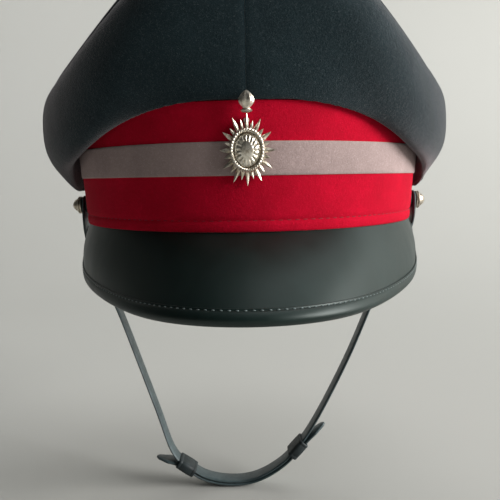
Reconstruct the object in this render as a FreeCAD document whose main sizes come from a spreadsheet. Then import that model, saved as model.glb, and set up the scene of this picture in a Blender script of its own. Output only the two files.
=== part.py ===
import FreeCAD, Part
import Sketcher
import math
import os
from FreeCAD import Placement, Rotation, Vector

# Military peaked cap (forage cap) with a stiffened red band, a grey band stripe, a patent peak,
# a two-layer leather chin strap on side buttons and a plain sunburst badge.
# Millimetres. The origin is the centre of the head opening at the band's lower edge, +Z is up,
# the peak points to -Y, and +X is the wearer's left.

doc = FreeCAD.newDocument("peaked_cap")
pieces = []

# ---------------------------------------------------------------- driving dimensions

DIMENSIONS = {
    # band: an upright oval wall that flares a little towards its top
    "band_half_width": 85.0,
    "band_half_length": 103.0,
    "band_flare": 0.07,
    "band_height": 50.5,
    "cloth_thickness": 1.1,
    "foundation_thickness": 1.8,
    "layer_gap": 0.1,
    "stripe_bottom": 22.1,
    "stripe_top": 35.2,
    "stripe_thickness": 0.6,
    "sweatband_setback": 5.6,
    "sweatband_thickness": 1.2,
    "sweatband_height": 38.0,
    "reed_setback": 4.2,
    "reed_radius": 1.0,
    "hole_play": 0.2,
    # crown
    "crown_cloth": 1.5,
    "crown_seam_gap": 0.1,
    "interlining": 0.8,
    "interlining_gap": 0.5,
    "crown_centre_height": 97.0,
    "crown_lean": 1.2,
    "welt_radius": 1.6,
    "grommet_radius": 1.2,
    "grommet_drop": 5.0,
    "lining_setback": 3.3,
    "lining_thickness": 0.6,
    "lining_foot": 46.0,
    "lining_rise": 38.0,
    "lining_seam": 62.0,
    "sweat_patch_reach": 42.0,
    "sweat_patch_thickness": 0.4,
    "sweat_patch_gap": 0.2,
    "stay_width": 22.0,
    "stay_thickness": 0.9,
    "stay_length": 52.0,
    "stay_lean": 15.0,
    # peak
    "peak_end_angle": 8.0,
    "peak_end_reach": 2.0,
    "peak_side_reach": 9.0,
    "peak_front_reach": 23.0,
    "peak_drop": 27.0,
    "peak_end_lift": 19.0,
    "peak_cover": 1.0,
    "peak_core": 1.3,
    "peak_lining": 0.8,
    "binding_width": 4.6,
    "binding_thickness": 0.8,
    # chin strap and its buttons
    "button_setback": 6.0,
    "button_level": 8.0,
    "button_radius": 4.6,
    "button_rise": 5.4,
    "button_seat": 89.9,
    "shank_radius": 1.6,
    "shank_length": 9.5,
    "shank_fit": 0.08,
    "eye_setback": 0.9,
    "washer_thickness": 2.0,
    "strap_width": 10.0,
    "strap_thickness": 1.4,
    "strap_gap": 0.3,
    "keeper_length": 11.0,
    "keeper_wall": 1.0,
    "keeper_play": 0.35,
    "keeper_left_across": -37.2,
    "keeper_left_level": -139.9,
    "keeper_left_slope": 34.0,
    "keeper_right_across": 24.6,
    "keeper_right_level": -130.3,
    "keeper_right_slope": 48.0,
    "pin_radius": 0.45,
    "pin_fit": 0.08,
    # badge
    "badge_level": 35.0,
    "rope_radius": 0.9,
    "boss_rise": 2.4,
    "finial_rise": 4.7,
    "badge_standoff": 1.3,
    "badge_plate": 1.2,
    "rays_half_width": 10.8,
    "rays_half_height": 13.8,
    "rays_drop": 3.2,
    "lug_radius": 1.1,
    "lug_spacing": 16.0,
    "lug_length": 6.4,
    "lug_eye_setback": 1.2,
    "button_pin_length": 11.0,
    "badge_pin_length": 20.0,
}

sheet = doc.addObject("Spreadsheet::Sheet", "dims")
for row, (alias, value) in enumerate(DIMENSIONS.items(), start=1):
    sheet.set(f"A{row}", alias)
    sheet.set(f"B{row}", str(value))
    sheet.setAlias(f"B{row}", alias)
doc.recompute()


def dim(alias):
    """A driving dimension's value, read from the sheet."""
    return float(sheet.get(alias))


def piece(thing, label):
    """Name an object as a finished sub-part."""
    thing.Label = label
    pieces.append(thing)
    return thing


# ---------------------------------------------------------------- sketch helpers


def new_body(label):
    body = doc.addObject("PartDesign::Body", f"{label}_body")
    return piece(body, label)


def new_sketch(body, name, role):
    """A sketch on one of the body's own origin planes."""
    sketch = body.newObject("Sketcher::SketchObject", name)
    plane = next(f for f in body.Origin.OriginFeatures if f.Role == role)
    sketch.AttachmentSupport = (plane, [""])
    sketch.MapMode = "FlatFace"
    return sketch


def evaluate(expression):
    """The number that a sheet expression stands for, to place a sketch point before it is bound."""
    return float(doc.getObject("dims").evalExpression(str(expression)))


def polygon(sketch, corners):
    """A closed outline of straight edges, each corner bound to two sheet expressions."""
    first = sketch.GeometryCount
    places = [(evaluate(x), evaluate(y)) for x, y in corners]
    count = len(places)
    for i in range(count):
        start = Vector(*places[i], 0)
        end = Vector(*places[(i + 1) % count], 0)
        sketch.addGeometry(Part.LineSegment(start, end), False)
    for i in range(count):
        following = first + (i + 1) % count
        sketch.addConstraint(Sketcher.Constraint("Coincident", first + i, 2, following, 1))
    for i, (x, y) in enumerate(corners):
        for kind, expression, value in zip(("DistanceX", "DistanceY"), (x, y), places[i]):
            constraint = Sketcher.Constraint(kind, -1, 1, first + i, 1, value)
            number = sketch.addConstraint(constraint)
            sketch.setExpression(f"Constraints[{number}]", str(expression))


def circle(sketch, radius, x="0", y="0"):
    """A circle whose radius and centre are sheet expressions."""
    centre = Vector(evaluate(x), evaluate(y), 0)
    geometry = sketch.addGeometry(Part.Circle(centre, Vector(0, 0, 1), evaluate(radius)), False)
    number = sketch.addConstraint(Sketcher.Constraint("Radius", geometry, evaluate(radius)))
    sketch.setExpression(f"Constraints[{number}]", radius)
    for kind, expression in (("DistanceX", x), ("DistanceY", y)):
        constraint = Sketcher.Constraint(kind, -1, 1, geometry, 3, evaluate(expression))
        number = sketch.addConstraint(constraint)
        sketch.setExpression(f"Constraints[{number}]", expression)


def pad(body, sketch, length, side="One side"):
    feature = body.newObject("PartDesign::Pad", f"{sketch.Name}_pad")
    feature.Profile = sketch
    feature.SideType = side
    feature.setExpression("Length", length)
    return feature


def pocket_through(body, sketch):
    feature = body.newObject("PartDesign::Pocket", f"{sketch.Name}_pocket")
    feature.Profile = sketch
    feature.Type = "ThroughAll"
    feature.SideType = "Symmetric"
    return feature


def revolve(body, sketch):
    """Turn a sketch once around its own vertical axis."""
    feature = body.newObject("PartDesign::Revolution", f"{sketch.Name}_turned")
    feature.Profile = sketch
    feature.ReferenceAxis = (sketch, ["V_Axis"])
    feature.Angle = 360.0
    return feature


# ---------------------------------------------------------------- band


def oval(name, offset, level):
    """An oval around the head, offset outwards from the band's face, at a height."""
    curve = doc.addObject("Part::Ellipse", name)
    growth = f"dims.band_flare * ({level}) + ({offset})"
    curve.setExpression("MajorRadius", f"dims.band_half_length + {growth}")
    curve.setExpression("MinorRadius", f"dims.band_half_width + {growth}")
    curve.Placement = Placement(Vector(0, 0, 0), Rotation(Vector(0, 0, 1), 90))
    curve.setExpression("Placement.Base.z", level)
    return curve


def oval_wall(name, outer, inner, low, high):
    """A thin flared wall between two offsets and two heights."""
    solids = []
    for side, offset in (("outer", outer), ("inner", inner)):
        loft = doc.addObject("Part::Loft", f"{name}_{side}")
        ends = (("low", low), ("high", high))
        loft.Sections = [oval(f"{name}_{side}_{end}", offset, level) for end, level in ends]
        loft.Solid = True
        loft.Ruled = True
        solids.append(loft)
    wall = doc.addObject("Part::Cut", name)
    wall.Base, wall.Tool = solids
    return wall


def band_holes(name):
    """The cylinders that the buttons' shanks and the badge's lugs pass through."""
    axle = doc.addObject("Part::Cylinder", f"{name}_axle")
    axle.setExpression("Radius", "dims.shank_radius + dims.hole_play")
    axle.setExpression("Height", "4 * dims.band_half_width")
    axle.Placement.Rotation = Rotation(Vector(0, 1, 0), 90)
    axle.setExpression("Placement.Base.x", "-2 * dims.band_half_width")
    axle.setExpression("Placement.Base.y", "-dims.button_setback")
    axle.setExpression("Placement.Base.z", "dims.button_level")
    tools = [axle]
    for side, sign in (("upper", "+"), ("lower", "-")):
        lug = doc.addObject("Part::Cylinder", f"{name}_{side}_lug")
        lug.setExpression("Radius", "dims.lug_radius + dims.hole_play")
        lug.setExpression("Height", "dims.band_half_length")
        lug.Placement.Rotation = Rotation(Vector(1, 0, 0), badge_turn())
        lug.Placement.Base = badge_point(0, evaluate(f"{sign}dims.lug_spacing / 2"), -40)
        tools.append(lug)
    holes = doc.addObject("Part::MultiFuse", name)
    holes.Shapes = tools
    return holes


def pierced(wall, label):
    cut = doc.addObject("Part::Cut", f"{label}_pierced")
    cut.Base = wall
    cut.Tool = band_holes(f"{label}_holes")
    return piece(cut, label)


def badge_turn():
    """The badge's face leans with the flare of the band."""
    return 90 + math.degrees(math.atan(dim("band_flare")))


def badge_point(across, up, out):
    """A point given along and out of the band's front, from the badge's centre."""
    level = dim("badge_level")
    base = Vector(0, -(dim("band_half_length") + dim("band_flare") * level), level)
    return base + Rotation(Vector(1, 0, 0), badge_turn()).multVec(Vector(across, up, out))


def make_band():
    inner_face = "-dims.cloth_thickness"
    foundation_face = "-dims.cloth_thickness - dims.layer_gap"
    foundation_back = f"{foundation_face} - dims.foundation_thickness"
    cloth = oval_wall("cloth_wall", "0", inner_face, "0", "dims.band_height")
    pierced(cloth, "band_cloth")
    core = oval_wall("foundation_wall", foundation_face, foundation_back, "0", "dims.band_height")
    pierced(core, "band_foundation")
    stripe = oval_wall(
        "stripe_wall",
        "dims.stripe_thickness + 0.02",
        "0.02",
        "dims.stripe_bottom",
        "dims.stripe_top",
    )
    pierced(stripe, "band_stripe")
    leather = oval_wall(
        "sweatband_wall",
        "-dims.sweatband_setback",
        "-dims.sweatband_setback - dims.sweatband_thickness",
        "0",
        "dims.sweatband_height",
    )
    piece(leather, "sweatband")


def ring_tube(label, path, radius):
    """A round cord that follows a closed oval."""
    section = doc.addObject("Part::Circle", f"{label}_section")
    section.setExpression("Radius", radius)
    section.setExpression("Placement.Base.x", f"{path.Name}.MinorRadius")
    section.setExpression("Placement.Base.z", f"{path.Name}.Placement.Base.z")
    section.Placement.Rotation = Rotation(Vector(1, 0, 0), 90)
    sweep = doc.addObject("Part::Sweep", label)
    sweep.Sections = [section]
    sweep.Spine = (path, ["Edge1"])
    sweep.Solid = True
    sweep.Frenet = True
    return sweep


def make_reed():
    """The cord that stiffens the sweatband's lower edge."""
    path = oval("reed_path", "-dims.reed_setback", "dims.reed_radius + dims.layer_gap")
    piece(ring_tube("reed", path, "dims.reed_radius"), "sweatband_reed")


# ---------------------------------------------------------------- crown shape

# How the crown's cloth runs from the band's top edge, over its rolled rim and in to the welt, as the
# (outwards, height) control points of a smooth curve: it leans forward over the peak, hangs down over
# the band at the sides and droops a little behind.
FRONT_PROFILE = [
    (0.9, 50.7), (1.2, 54.5), (2.6, 60), (8, 75), (13.5, 90), (17, 101), (15, 109), (8, 112)
]
SIDE_PROFILE = [
    (2.1, 50.9), (2.4, 34), (3, 14), (8.8, 15.5), (13.4, 32), (15.5, 46), (14, 61), (7, 64)
]
BACK_PROFILE = [
    (1.9, 50.9), (2.6, 44), (4.5, 33), (13, 34), (18.5, 45), (19.5, 54.5), (16.5, 61.5), (9.5, 64.5)
]
LOW_POINTS = 3
CROWN_STEP = 6
TOP_PANEL_SPARE = 30
TOP_PANEL_ROWS = 15
TOP_PANEL_COLUMNS = 13
INTERLINING_SPAN = (240, 300)
INTERLINING_START = 0.16
INTERLINING_SHORT = 14
LEAN_SHARE = (0, 0, 0.6, 1, 1, 1, 1, 1)


def band_frame(angle):
    """The band's top edge at an angle from +X in degrees, and the outward direction there."""
    top = dim("band_height")
    half_width = dim("band_half_width") + dim("band_flare") * top
    half_length = dim("band_half_length") + dim("band_flare") * top
    across, along = math.cos(math.radians(angle)), math.sin(math.radians(angle))
    outward = Vector(across * half_length, along * half_width, 0)
    return Vector(half_width * across, half_length * along, 0), outward.normalize()


def side_share(angle, number):
    """How much of the side's profile the crown follows: none at the front and back, all at a side."""
    across = abs(math.cos(math.radians(angle)))
    if number < LOW_POINTS:
        return across**1.7
    return 1 - (1 - across**2) ** 2.57


def crown_profile(angle):
    """The cloth's path at an angle, as (outwards, height) pairs."""
    end = FRONT_PROFILE if math.sin(math.radians(angle)) < 0 else BACK_PROFILE
    path = []
    for number, (side, other) in enumerate(zip(SIDE_PROFILE, end)):
        share = side_share(angle, number)
        outward = share * side[0] + (1 - share) * other[0]
        height = share * side[1] + (1 - share) * other[1]
        outward -= dim("crown_lean") * math.cos(math.radians(angle)) * LEAN_SHARE[number]
        path.append((outward, height))
    return path


def upright_point(angle, outward, height):
    """A point in the upright plane that crosses the band's top edge squarely at an angle."""
    base, direction = band_frame(angle)
    return base + direction * outward + Vector(0, 0, height)


def thin_section(angle, path, start, short, outer_depth, inner_depth):
    """A thin closed outline below a profile's outer face, from a share of it to short of its end."""
    corners = [Vector(outward, height, 0) for outward, height in path]
    faces = []
    for depth in (outer_depth, inner_depth):
        poles = []
        for number, corner in enumerate(corners):
            before, after = corners[max(number - 1, 0)], corners[min(number + 1, len(corners) - 1)]
            along = (after - before).normalize()
            spot = corner + Vector(-along.y, along.x, 0) * depth
            poles.append(upright_point(angle, spot.x, spot.y))
        face = Part.BSplineCurve()
        face.buildFromPoles(poles, False, 3)
        low, high = face.FirstParameter, face.LastParameter
        face.segment(low + (high - low) * start, face.parameterAtDistance(-short, high))
        faces.append(face)
    outer, inner = faces
    inner.reverse()
    edges = [
        outer.toShape(),
        Part.LineSegment(outer.EndPoint, inner.StartPoint).toShape(),
        inner.toShape(),
        Part.LineSegment(inner.EndPoint, outer.StartPoint).toShape(),
    ]
    return Part.Wire(edges)


def crown_strip(label, first, last, start, short, outer_depth, inner_depth):
    """A panel of cloth from one angle around the crown to another."""
    count = round(abs(last - first) / CROWN_STEP) + 1
    angles = [first + (last - first) * i / (count - 1) for i in range(count)]
    wires = [
        thin_section(a, crown_profile(a), start, short, outer_depth, inner_depth) for a in angles
    ]
    panel = doc.addObject("Part::Feature", label)
    panel.Shape = Part.makeLoft(wires, True, False)
    return piece(panel, label)


def crown_loop(inset, drop):
    """Points of a closed loop that follows the welt, set inwards and down from it."""
    points = []
    for angle in range(0, 360, 10):
        outward, height = crown_profile(angle)[-1]
        points.append(upright_point(angle, outward - inset, height - drop))
    return points


def loop_tube(label, inset, drop, radius):
    """A round cord around the crown, as a closed loft of circles."""
    path = Part.BSplineCurve()
    path.interpolate(Points=crown_loop(inset, drop), PeriodicFlag=True)
    low, high = path.FirstParameter, path.LastParameter
    halves = []
    sections = 18
    for half in range(2):
        wires = []
        for i in range(sections + 1):
            at = low + (high - low) * (half + i / sections) / 2
            tangent = path.tangent(at if at < high else low)[0]
            edge = Part.Circle(path.value(at), tangent, radius).toShape()
            wires.append(Part.Wire(edge))
        halves.append(Part.makeLoft(wires, True, False))
    tube = doc.addObject("Part::Feature", label)
    tube.Shape = halves[0].fuse(halves[1]).removeSplitter()
    return piece(tube, label)


def top_height(x, y):
    """The height of the crown's top cloth: highest behind the front, falling to the sides and back."""
    front, back, side = crown_profile(-90)[-1], crown_profile(90)[-1], crown_profile(0)[-1]
    base_x, base_y = band_frame(0)[0].x, band_frame(90)[0].y
    x_reach = base_x + side[0] + dim("crown_lean")
    y_reach = base_y + (front[0] if y < 0 else back[0])
    share = math.hypot(x / x_reach, y / y_reach)
    angle = math.degrees(math.atan2(y / y_reach, x / x_reach))
    rim = crown_profile(angle)[-1][1]
    centre = dim("crown_centre_height")
    return centre + (rim - centre) * share**2


def make_top_panel():
    thickness = dim("crown_cloth")
    reach_x = dim("band_half_width") + TOP_PANEL_SPARE
    reach_y = dim("band_half_length") + TOP_PANEL_SPARE
    wires = []
    for i in range(TOP_PANEL_ROWS):
        y = -reach_y + 2 * reach_y * i / (TOP_PANEL_ROWS - 1)
        upper = []
        for j in range(TOP_PANEL_COLUMNS):
            x = -reach_x + 2 * reach_x * j / (TOP_PANEL_COLUMNS - 1)
            upper.append(Vector(x, y, top_height(x, y)))
        lower = [p - Vector(0, 0, thickness) for p in reversed(upper)]
        top, under = Part.BSplineCurve(), Part.BSplineCurve()
        top.interpolate(upper)
        under.interpolate(lower)
        edges = [
            top.toShape(),
            Part.LineSegment(upper[-1], lower[0]).toShape(),
            under.toShape(),
            Part.LineSegment(lower[-1], upper[0]).toShape(),
        ]
        wires.append(Part.Wire(edges))
    cloth = Part.makeLoft(wires, True, False)
    outline = Part.BSplineCurve()
    inset = dim("welt_radius") + 2 * dim("crown_seam_gap")
    flat = [Vector(p.x, p.y, 0) for p in crown_loop(inset, 0)]
    outline.interpolate(Points=flat, PeriodicFlag=True)
    face = Part.Face(Part.Wire(outline.toShape()))
    panel = doc.addObject("Part::Feature", "crown_top_panel")
    panel.Shape = cloth.common(face.extrude(Vector(0, 0, 2 * dim("crown_centre_height"))))
    piece(panel, "crown_top_panel")


def make_crown():
    """The crown: four quarters seamed down the middle and sides, the top, its welt and stiffeners."""
    seam, cloth = dim("crown_seam_gap"), dim("crown_cloth")
    clear_of_welt = dim("welt_radius") + 2 * seam
    quarters = {
        "quarter_rear_left": (0, 90),
        "quarter_rear_right": (180, 90),
        "quarter_front_right": (270, 180),
        "quarter_front_left": (270, 360),
    }
    for label, (first, last) in quarters.items():
        inward = seam if last > first else -seam
        crown_strip(label, first + inward, last - inward, 0, clear_of_welt, 0, cloth)
    make_top_panel()
    loop_tube("crown_welt", 0, 0, dim("welt_radius"))
    loop_tube("crown_grommet", 0, dim("grommet_drop"), dim("grommet_radius"))
    face = cloth + dim("interlining_gap")
    first, last = INTERLINING_SPAN
    start, short = INTERLINING_START, INTERLINING_SHORT
    crown_strip("front_interlining", first, last, start, short, face, face + dim("interlining"))


def make_front_stay():
    """The upright strip that holds the crown's front up."""
    body = new_body("front_stay")
    sketch = new_sketch(body, "stay_outline", "XZ_Plane")
    half = "dims.stay_width / 2"
    high = "dims.stay_length"
    corners = [(f"-{half}", "0"), (half, "0"), (half, high), (f"-{half}", high)]
    polygon(sketch, corners)
    pad(body, sketch, "dims.stay_thickness")
    foot = upright_point(-90, -4.0, dim("band_height") + 0.8)
    body.Placement = Placement(foot, Rotation(Vector(1, 0, 0), dim("stay_lean")))


# ---------------------------------------------------------------- lining


def dome(name, inset):
    """Half of an egg-shaped solid above the lining's foot."""
    solid = doc.addObject("Part::Ellipsoid", name)
    edge = f"dims.band_flare * dims.lining_foot - dims.lining_setback - ({inset})"
    solid.setExpression("Radius2", f"dims.band_half_width + {edge}")
    solid.setExpression("Radius3", f"dims.band_half_length + {edge}")
    solid.setExpression("Radius1", f"dims.lining_rise - ({inset})")
    solid.Angle1 = 0
    solid.Angle2 = 90
    solid.setExpression("Placement.Base.z", "dims.lining_foot")
    return solid


def shell(name, outer, inner):
    cut = doc.addObject("Part::Cut", name)
    cut.Base = dome(f"{name}_outer", outer)
    cut.Tool = dome(f"{name}_inner", inner)
    return cut


def slab(name, low, high):
    """A wide block between two heights."""
    block = doc.addObject("Part::Box", name)
    block.Length = block.Width = 400
    block.setExpression("Height", f"{high} - ({low})")
    block.Placement.Base = Vector(-200, -200, 0)
    block.setExpression("Placement.Base.z", low)
    return block


def common(name, base, tool):
    both = doc.addObject("Part::Common", name)
    both.Base, both.Tool = base, tool
    return both


def make_lining():
    thick = "dims.lining_thickness"
    foot, seam = "dims.lining_foot", "dims.lining_seam"
    wall = common("lining_lower", shell("lining_wall", "0", thick), slab("below_seam", foot, seam))
    piece(wall, "lining_side")
    tip_zone = slab("above_seam", f"{seam} + dims.layer_gap", "200")
    piece(common("lining_upper", shell("lining_dome", "0", thick), tip_zone), "lining_tip")
    inset = f"{thick} + dims.sweat_patch_gap"
    film = shell("patch_film", inset, f"{inset} + dims.sweat_patch_thickness")
    diamond = doc.addObject("Part::Prism", "patch_outline")
    diamond.Polygon = 4
    diamond.setExpression("Circumradius", "dims.sweat_patch_reach")
    diamond.Height = 200
    piece(common("patch", film, diamond), "sweat_patch")


# ---------------------------------------------------------------- peak

# The peak's edge drops a little more at the front and at its rounded corners, and it sweeps up to
# the band over a few degrees at each end.
PEAK_ROOT = Vector(-0.6, -0.2, 0)
PEAK_FRONT_DROP = 1.2
PEAK_CORNER_DROP = 3.2
PEAK_END_SWEEP = 6
PEAK_CLOSE_TURNS = [0, 3, 7, 13, 22]
PEAK_OPEN_TURNS = [34, 46, 58, 70, 82]


def peak_section_line(angle):
    """The peak's upper face at an angle: its root under the band and its free edge, outwards and up."""
    along = abs(math.sin(math.radians(angle)))
    from_end = min(angle % 180, 180 - angle % 180) - dim("peak_end_angle")
    corners = math.sin(math.radians(2 * angle)) * along
    reach = dim("peak_side_reach") * along**2 + dim("peak_front_reach") * along**8
    drop = dim("peak_drop") + PEAK_FRONT_DROP * along**2 + PEAK_CORNER_DROP * corners**2
    drop -= dim("peak_end_lift") * math.exp(-from_end / PEAK_END_SWEEP)
    return PEAK_ROOT, Vector(dim("peak_end_reach") + reach, -drop, 0)


def peak_strip(label, outline_of):
    """A layer of the peak, lofted through sections around the front of the band."""
    end = dim("peak_end_angle")
    first_half = PEAK_CLOSE_TURNS + PEAK_OPEN_TURNS
    whole = 2 * first_half[-1]
    turns = first_half + [whole - turn for turn in reversed(first_half[:-1])]
    wires = []
    for turn in turns:
        angle = 180 + end + turn * (180 - 2 * end) / whole
        root, tip = peak_section_line(angle)
        along = (tip - root).normalize()
        out = Vector(-along.y, along.x, 0)
        length = (tip - root).Length
        points = []
        for distance, depth in outline_of(length):
            spot = root + along * distance + out * depth
            points.append(peak_point(angle, spot.x, spot.y))
        wires.append(Part.makePolygon(points + points[:1]))
    layer = doc.addObject("Part::Feature", label)
    layer.Shape = Part.makeLoft(wires, True, False)
    return piece(layer, label)


def peak_point(angle, outward, height):
    """A point outwards from the band's lower edge at an angle."""
    across, along = math.cos(math.radians(angle)), math.sin(math.radians(angle))
    half_width, half_length = dim("band_half_width"), dim("band_half_length")
    direction = Vector(across * half_length, along * half_width, 0).normalize()
    return Vector(half_width * across, half_length * along, height) + direction * outward


def make_peak():
    gap = dim("layer_gap")
    cover, core, lining = dim("peak_cover"), dim("peak_core"), dim("peak_lining")
    width, skin = dim("binding_width"), dim("binding_thickness")
    depth = 0.0
    for label, thickness in (("peak_cover", cover), ("peak_core", core), ("peak_lining", lining)):
        low = depth - thickness
        peak_strip(label, lambda length, a=depth, b=low: [(0, a), (length, a), (length, b), (0, b)])
        depth = low - gap
    under = depth

    def binding(length):
        """A folded strip of leather around the free edge."""
        inner = length + gap
        return [
            (length - width, gap),
            (inner, gap),
            (inner, under),
            (length - width, under),
            (length - width, under - skin),
            (inner + 0.5, under - skin),
            (inner + skin, under),
            (inner + skin, gap),
            (inner + 0.5, gap + skin),
            (length - width, gap + skin),
        ]

    peak_strip("peak_binding", binding)


# ---------------------------------------------------------------- buttons, washers and pins


def facing(side):
    """Turn a body's +Z outwards to the left (+X) or the right (-X) of the cap."""
    return Rotation(Vector(0, 1, 0), 90 if side == "left" else -90)


def on_axle(body, side, distance):
    """Put a body on the button axis at a distance from the middle of the cap."""
    body.Placement.Rotation = facing(side)
    sign = "" if side == "left" else "-"
    body.setExpression("Placement.Base.x", f"{sign}({distance})")
    body.setExpression("Placement.Base.y", "-dims.button_setback")
    body.setExpression("Placement.Base.z", "dims.button_level")


def make_button(side):
    radius, rise = "dims.button_radius", "dims.button_rise"
    cap = new_body(f"button_dome_{side}")
    sketch = new_sketch(cap, f"dome_profile_{side}", "XZ_Plane")
    polygon(
        sketch,
        [
            ("0", f"{rise} - 0.6"),
            (f"{radius} * 0.5", f"{rise} - 1.3"),
            (f"{radius} - 0.9", f"{rise} - 2.9"),
            (f"{radius} - 0.6", "1.0"),
            (radius, "1.0"),
            (radius, "2.0"),
            (f"{radius} * 0.86", f"{rise} - 1.9"),
            (f"{radius} * 0.5", f"{rise} - 0.6"),
            (f"{radius} * 0.2", f"{rise} - 0.1"),
            ("0", rise),
        ],
    )
    revolve(cap, sketch)
    on_axle(cap, side, "dims.button_seat")

    back = new_body(f"button_back_{side}")
    sketch = new_sketch(back, f"back_profile_{side}", "XZ_Plane")
    polygon(
        sketch,
        [
            ("0", "0.9"),
            (radius, "0.9"),
            (radius, "0.3"),
            (f"{radius} - 0.5", "0"),
            ("dims.shank_radius", "0"),
            ("dims.shank_radius", "-dims.shank_length + 0.4"),
            ("dims.shank_radius - 0.4", "-dims.shank_length"),
            ("0", "-dims.shank_length"),
        ],
    )
    revolve(back, sketch)
    doc.recompute()
    eye = new_sketch(back, f"eye_{side}", "XZ_Plane")
    circle(eye, "dims.pin_radius + dims.pin_fit", "0", "-dims.shank_length + dims.eye_setback")
    pocket_through(back, eye)
    on_axle(back, side, "dims.button_seat")

    washer = new_body(f"button_washer_{side}")
    disc = new_sketch(washer, f"washer_outline_{side}", "XY_Plane")
    circle(disc, "dims.button_radius - 0.3")
    circle(disc, "dims.shank_radius + 0.05")
    pad(washer, disc, "dims.washer_thickness")
    seat = "dims.button_seat - dims.strap_thickness - dims.strap_gap * 2"
    on_axle(washer, side, f"{seat} - dims.washer_thickness")

    pin = split_pin(f"button_pin_{side}", "dims.button_pin_length")
    pin.Placement.Rotation = Rotation(Vector(1, 0, 0), 90)
    sign = "" if side == "left" else "-"
    eye_at = "dims.button_seat - dims.shank_length + dims.eye_setback"
    pin.setExpression("Placement.Base.x", f"{sign}({eye_at})")
    pin.setExpression("Placement.Base.y", "dims.button_pin_length / 2 - dims.button_setback")
    pin.setExpression("Placement.Base.z", "dims.button_level")


def split_pin(label, length):
    """A cotter: a straight leg with a ring head, standing along +Z from its head."""
    leg = doc.addObject("Part::Cylinder", f"{label}_leg")
    leg.setExpression("Radius", "dims.pin_radius")
    leg.setExpression("Height", length)
    head = doc.addObject("Part::Torus", f"{label}_head")
    head.setExpression("Radius1", "dims.pin_radius * 3")
    head.setExpression("Radius2", "dims.pin_radius")
    head.Placement.Rotation = Rotation(Vector(0, 1, 0), 90)
    head.setExpression("Placement.Base.z", "-dims.pin_radius * 3")
    both = doc.addObject("Part::Fuse", f"{label}_both")
    both.Base, both.Tool = leg, head
    return piece(both, label)


# ---------------------------------------------------------------- chin strap

# The strap hangs in the upright plane of the buttons. Its middle line runs through (across, height)
# corners from the button on the wearer's right, round under the chin, to the one on the left. The
# keepers sit on its two straight stretches and are named as seen from in front, so "left" is at -X.
# Each tip of the outer layer tapers in plan.
TIP_HALF_WIDTH = 1.6
TIP_SPARE = 0.9
TIP_TAPER = 7


def along_keeper(side, distances, aside=0.0):
    """Points on the straight stretch at a keeper, as distances towards the strap's lowest point."""
    turn = math.radians(dim(f"keeper_{side}_slope"))
    inwards = 1 if side == "left" else -1
    run = Vector(inwards * math.cos(turn), -math.sin(turn), 0)
    outer = Vector(-inwards * math.sin(turn), -math.cos(turn), 0)
    middle = Vector(dim(f"keeper_{side}_across"), dim(f"keeper_{side}_level"), 0)
    return [middle + run * d + outer * aside for d in distances]


def rounded(points):
    """The straight runs and tangent arcs of a route, as (kind, data) steps."""
    steps = []
    here = points[0]
    for before, corner, after in zip(points, points[1:], points[2:]):
        into, out = (corner - before), (after - corner)
        turn = into.getAngle(out)
        reach = 0.48 * min(into.Length, out.Length)
        if turn < 0.005:
            continue
        radius = reach / math.tan(turn / 2)
        start = corner - into.normalize() * reach
        end = corner + out.normalize() * reach
        side = 1 if into.cross(out).z > 0 else -1
        centre = start + Vector(-into.y, into.x, 0) * radius * side
        steps.append(("line", here, start))
        steps.append(("arc", centre, radius, side, start, end))
        here = end
    steps.append(("line", here, points[-1]))
    return steps


def side_line(steps, offset):
    """The route's parallel curve at an offset to its left, as sketch geometry in order."""
    curves = []
    for step in steps:
        if step[0] == "line":
            _, start, end = step
            if (end - start).Length < 1e-6:
                continue
            along = (end - start).normalize()
            shift = Vector(-along.y, along.x, 0) * offset
            curves.append(Part.LineSegment(start + shift, end + shift))
            continue
        _, centre, radius, side, start, end = step
        scale = (radius - side * offset) / radius
        first, last = centre + (start - centre) * scale, centre + (end - centre) * scale
        middle_way = ((start - centre) + (end - centre)).normalize() * radius * scale
        curves.append(Part.Arc(first, centre + middle_way, last))
    return curves


def strap_body(label, points):
    """A flat strap of leather along a route, its width along Y."""
    body = new_body(label)
    sketch = new_sketch(body, f"{label}_outline", "XZ_Plane")
    steps = rounded(points)
    half = dim("strap_thickness") / 2
    left, right = side_line(steps, half), side_line(steps, -half)
    closing = [
        Part.LineSegment(right[0].StartPoint, left[0].StartPoint),
        Part.LineSegment(left[-1].EndPoint, right[-1].EndPoint),
    ]
    for curve in left + right + closing:
        sketch.addGeometry(curve, False)
    pad(body, sketch, "dims.strap_width", "Symmetric")
    body.setExpression("Placement.Base.y", "-dims.button_setback")
    length = sum(part_length(step) for step in steps)
    print(f"{label}: {length:.0f} mm long along its middle line")
    return body


def part_length(step):
    if step[0] == "line":
        return (step[2] - step[1]).Length
    _, centre, radius, _, start, end = step
    return radius * (start - centre).getAngle(end - centre)


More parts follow.
